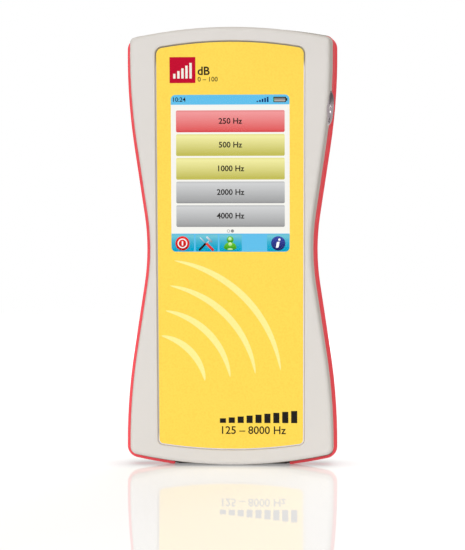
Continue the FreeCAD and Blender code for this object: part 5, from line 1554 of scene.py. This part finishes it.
class AUDIOMETER_OT_stage(bpy.types.Operator):
    """Set out the floor, the sky, the lamps and the camera"""

    bl_idname = "audiometer.stage"
    bl_label = "Stage"

    def execute(self, context):
        look = settings("audiometer_stage")
        context.scene.view_settings.view_transform = "Standard"
        self.make_sky(context, look)
        self.make_floor(look)
        for name, place, size, power, mirrored in (
            ("key_lamp", (-0.75, -1.5, 0.3), 0.4, look.key, True),
            ("front_lamp", (0.25, -3.0, 1.6), 0.8, look.front, True),
            ("top_lamp", (0.1, -0.1, 1.6), 1.0, look.top, False),
            ("back_lamp", (0.2, 1.6, 0.9), 1.0, look.back, False),
        ):
            lamp = bpy.data.lights.new(name, "AREA")
            lamp.size = size
            lamp.energy = power
            lamp.color = look.lamp_tint
            holder = in_scene(name, lamp)
            holder.visible_glossy = mirrored
            self.turn(holder, Vector(place), Vector((0.0, 0.0, 0.1)))
        camera = in_scene("camera", bpy.data.cameras.new("camera"))
        camera.data.sensor_fit = "VERTICAL"
        camera.data.sensor_height = 24.0
        camera.data.lens = look.lens
        camera.data.clip_start = 0.01
        self.turn(camera, Vector(look.camera), Vector(look.aim))
        context.scene.camera = camera
        return {"FINISHED"}

    def turn(self, obj, place, aim):
        """Puts a lamp or the camera at a place and points it."""
        obj.location = place
        obj.rotation_euler = (aim - place).to_track_quat("-Z", "Y").to_euler()

    def seen(self, graph):
        """1 where the camera, a reflection or glass sees the surface."""
        path = graph.add("ShaderNodeLightPath").outputs
        either = graph.maths("MAXIMUM", path["Is Camera Ray"], path["Is Glossy Ray"])
        return graph.maths("MAXIMUM", either, path["Is Transmission Ray"])

    def make_sky(self, context, look):
        """A sky that is seen white and lights matt surfaces with its own colour and brightness."""
        world = bpy.data.worlds.new("sky")
        world.use_nodes = True
        context.scene.world = world
        graph = Graph(world.node_tree)
        sky = world.node_tree.nodes["Background"]
        seen = self.seen(graph)
        graph.feed(sky.inputs["Color"], graph.mix(seen, look.sky_tint, WHITE))
        graph.feed(sky.inputs["Strength"], graph.spread(seen, 0.0, 1.0, look.sky, 1.0))

    def make_floor(self, look):
        """A matt floor that mirrors a little. It is seen lit, and darker where the object stands on it.

        Its brightness changes with the distance in metres from the object's middle.
        """
        mesh = slab([round_rect(look.floor, look.floor, 0.0)], 0.1 * MM)
        mesh.transform(at(0.0, 0.0, -0.15 * MM))
        made = bpy.data.materials.new("Floor")
        made.use_nodes = True
        made.node_tree.nodes.clear()
        graph = Graph(made.node_tree)
        away = graph.vector("LENGTH", graph.place())
        open_sky = graph.add("ShaderNodeAmbientOcclusion", {"Distance": 0.02}, samples=12).outputs["AO"]
        shade = graph.spread(open_sky, 0.2, 0.95, 0.35, 1.0)
        clear = graph.times(graph.spread(away, 0.3, 1.8, 0.67, 0.88), shade)
        thrown = graph.spread(away, 0.15, 0.5, look.table, 0.0)
        strength = graph.spread(self.seen(graph), 0.0, 1.0, thrown, clear)
        matt = graph.add("ShaderNodeBsdfDiffuse", {"Color": (0.5, 0.5, 0.5)})
        glow = graph.add("ShaderNodeEmission", {"Color": WHITE, "Strength": strength})
        plain = graph.add("ShaderNodeAddShader", {0: matt, 1: glow})
        mirror = graph.add("ShaderNodeBsdfAnisotropic", {"Color": WHITE, "Roughness": 0.012})
        both = graph.add("ShaderNodeMixShader", {"Fac": look.mirror, 1: plain, 2: mirror})
        graph.add("ShaderNodeOutputMaterial", {"Surface": both}).is_active_output = True
        mesh.materials.append(made)
        floor = in_scene("floor", mesh)


OPERATORS = (
    AUDIOMETER_OT_shells,
    AUDIOMETER_OT_overlay,
    AUDIOMETER_OT_screen,
    AUDIOMETER_OT_button,
    AUDIOMETER_OT_sockets,
    AUDIOMETER_OT_ports,
    AUDIOMETER_OT_boards,
    AUDIOMETER_OT_fasteners,
    AUDIOMETER_OT_battery,
    AUDIOMETER_OT_speaker,
    AUDIOMETER_OT_stage,
)
GROUPS = {
    "audiometer_face": AudiometerFace,
    "audiometer_screen": AudiometerScreen,
    "audiometer_print": AudiometerPrint,
    "audiometer_case": AudiometerCase,
    "audiometer_stage": AudiometerStage,
}


class AUDIOMETER_PT_panel(bpy.types.Panel):
    """Lists the pieces, with the sizes and colours that they are made from"""

    bl_idname = "AUDIOMETER_PT_panel"
    bl_label = "Audiometer"
    bl_space_type = "VIEW_3D"
    bl_region_type = "UI"
    bl_category = "Audiometer"

    def draw(self, context):
        for operator in OPERATORS:
            self.layout.operator(operator.bl_idname)
        for name, group in GROUPS.items():
            box = self.layout.box()
            for label in group.__annotations__:
                box.prop(getattr(context.scene, name), label)


def register():
    for group in GROUPS.values():
        bpy.utils.register_class(group)
    for name, group in GROUPS.items():
        setattr(bpy.types.Scene, name, bpy.props.PointerProperty(type=group))
    for operator in OPERATORS:
        bpy.utils.register_class(operator)
    bpy.utils.register_class(AUDIOMETER_PT_panel)


def unregister():
    bpy.utils.unregister_class(AUDIOMETER_PT_panel)
    for operator in reversed(OPERATORS):
        bpy.utils.unregister_class(operator)
    for name in GROUPS:
        delattr(bpy.types.Scene, name)
    for group in reversed(list(GROUPS.values())):
        bpy.utils.unregister_class(group)


def main():
    register()
    for operator in OPERATORS:
        group, name = operator.bl_idname.split(".")
        getattr(getattr(bpy.ops, group), name)()


if __name__ == "__main__":
    main()
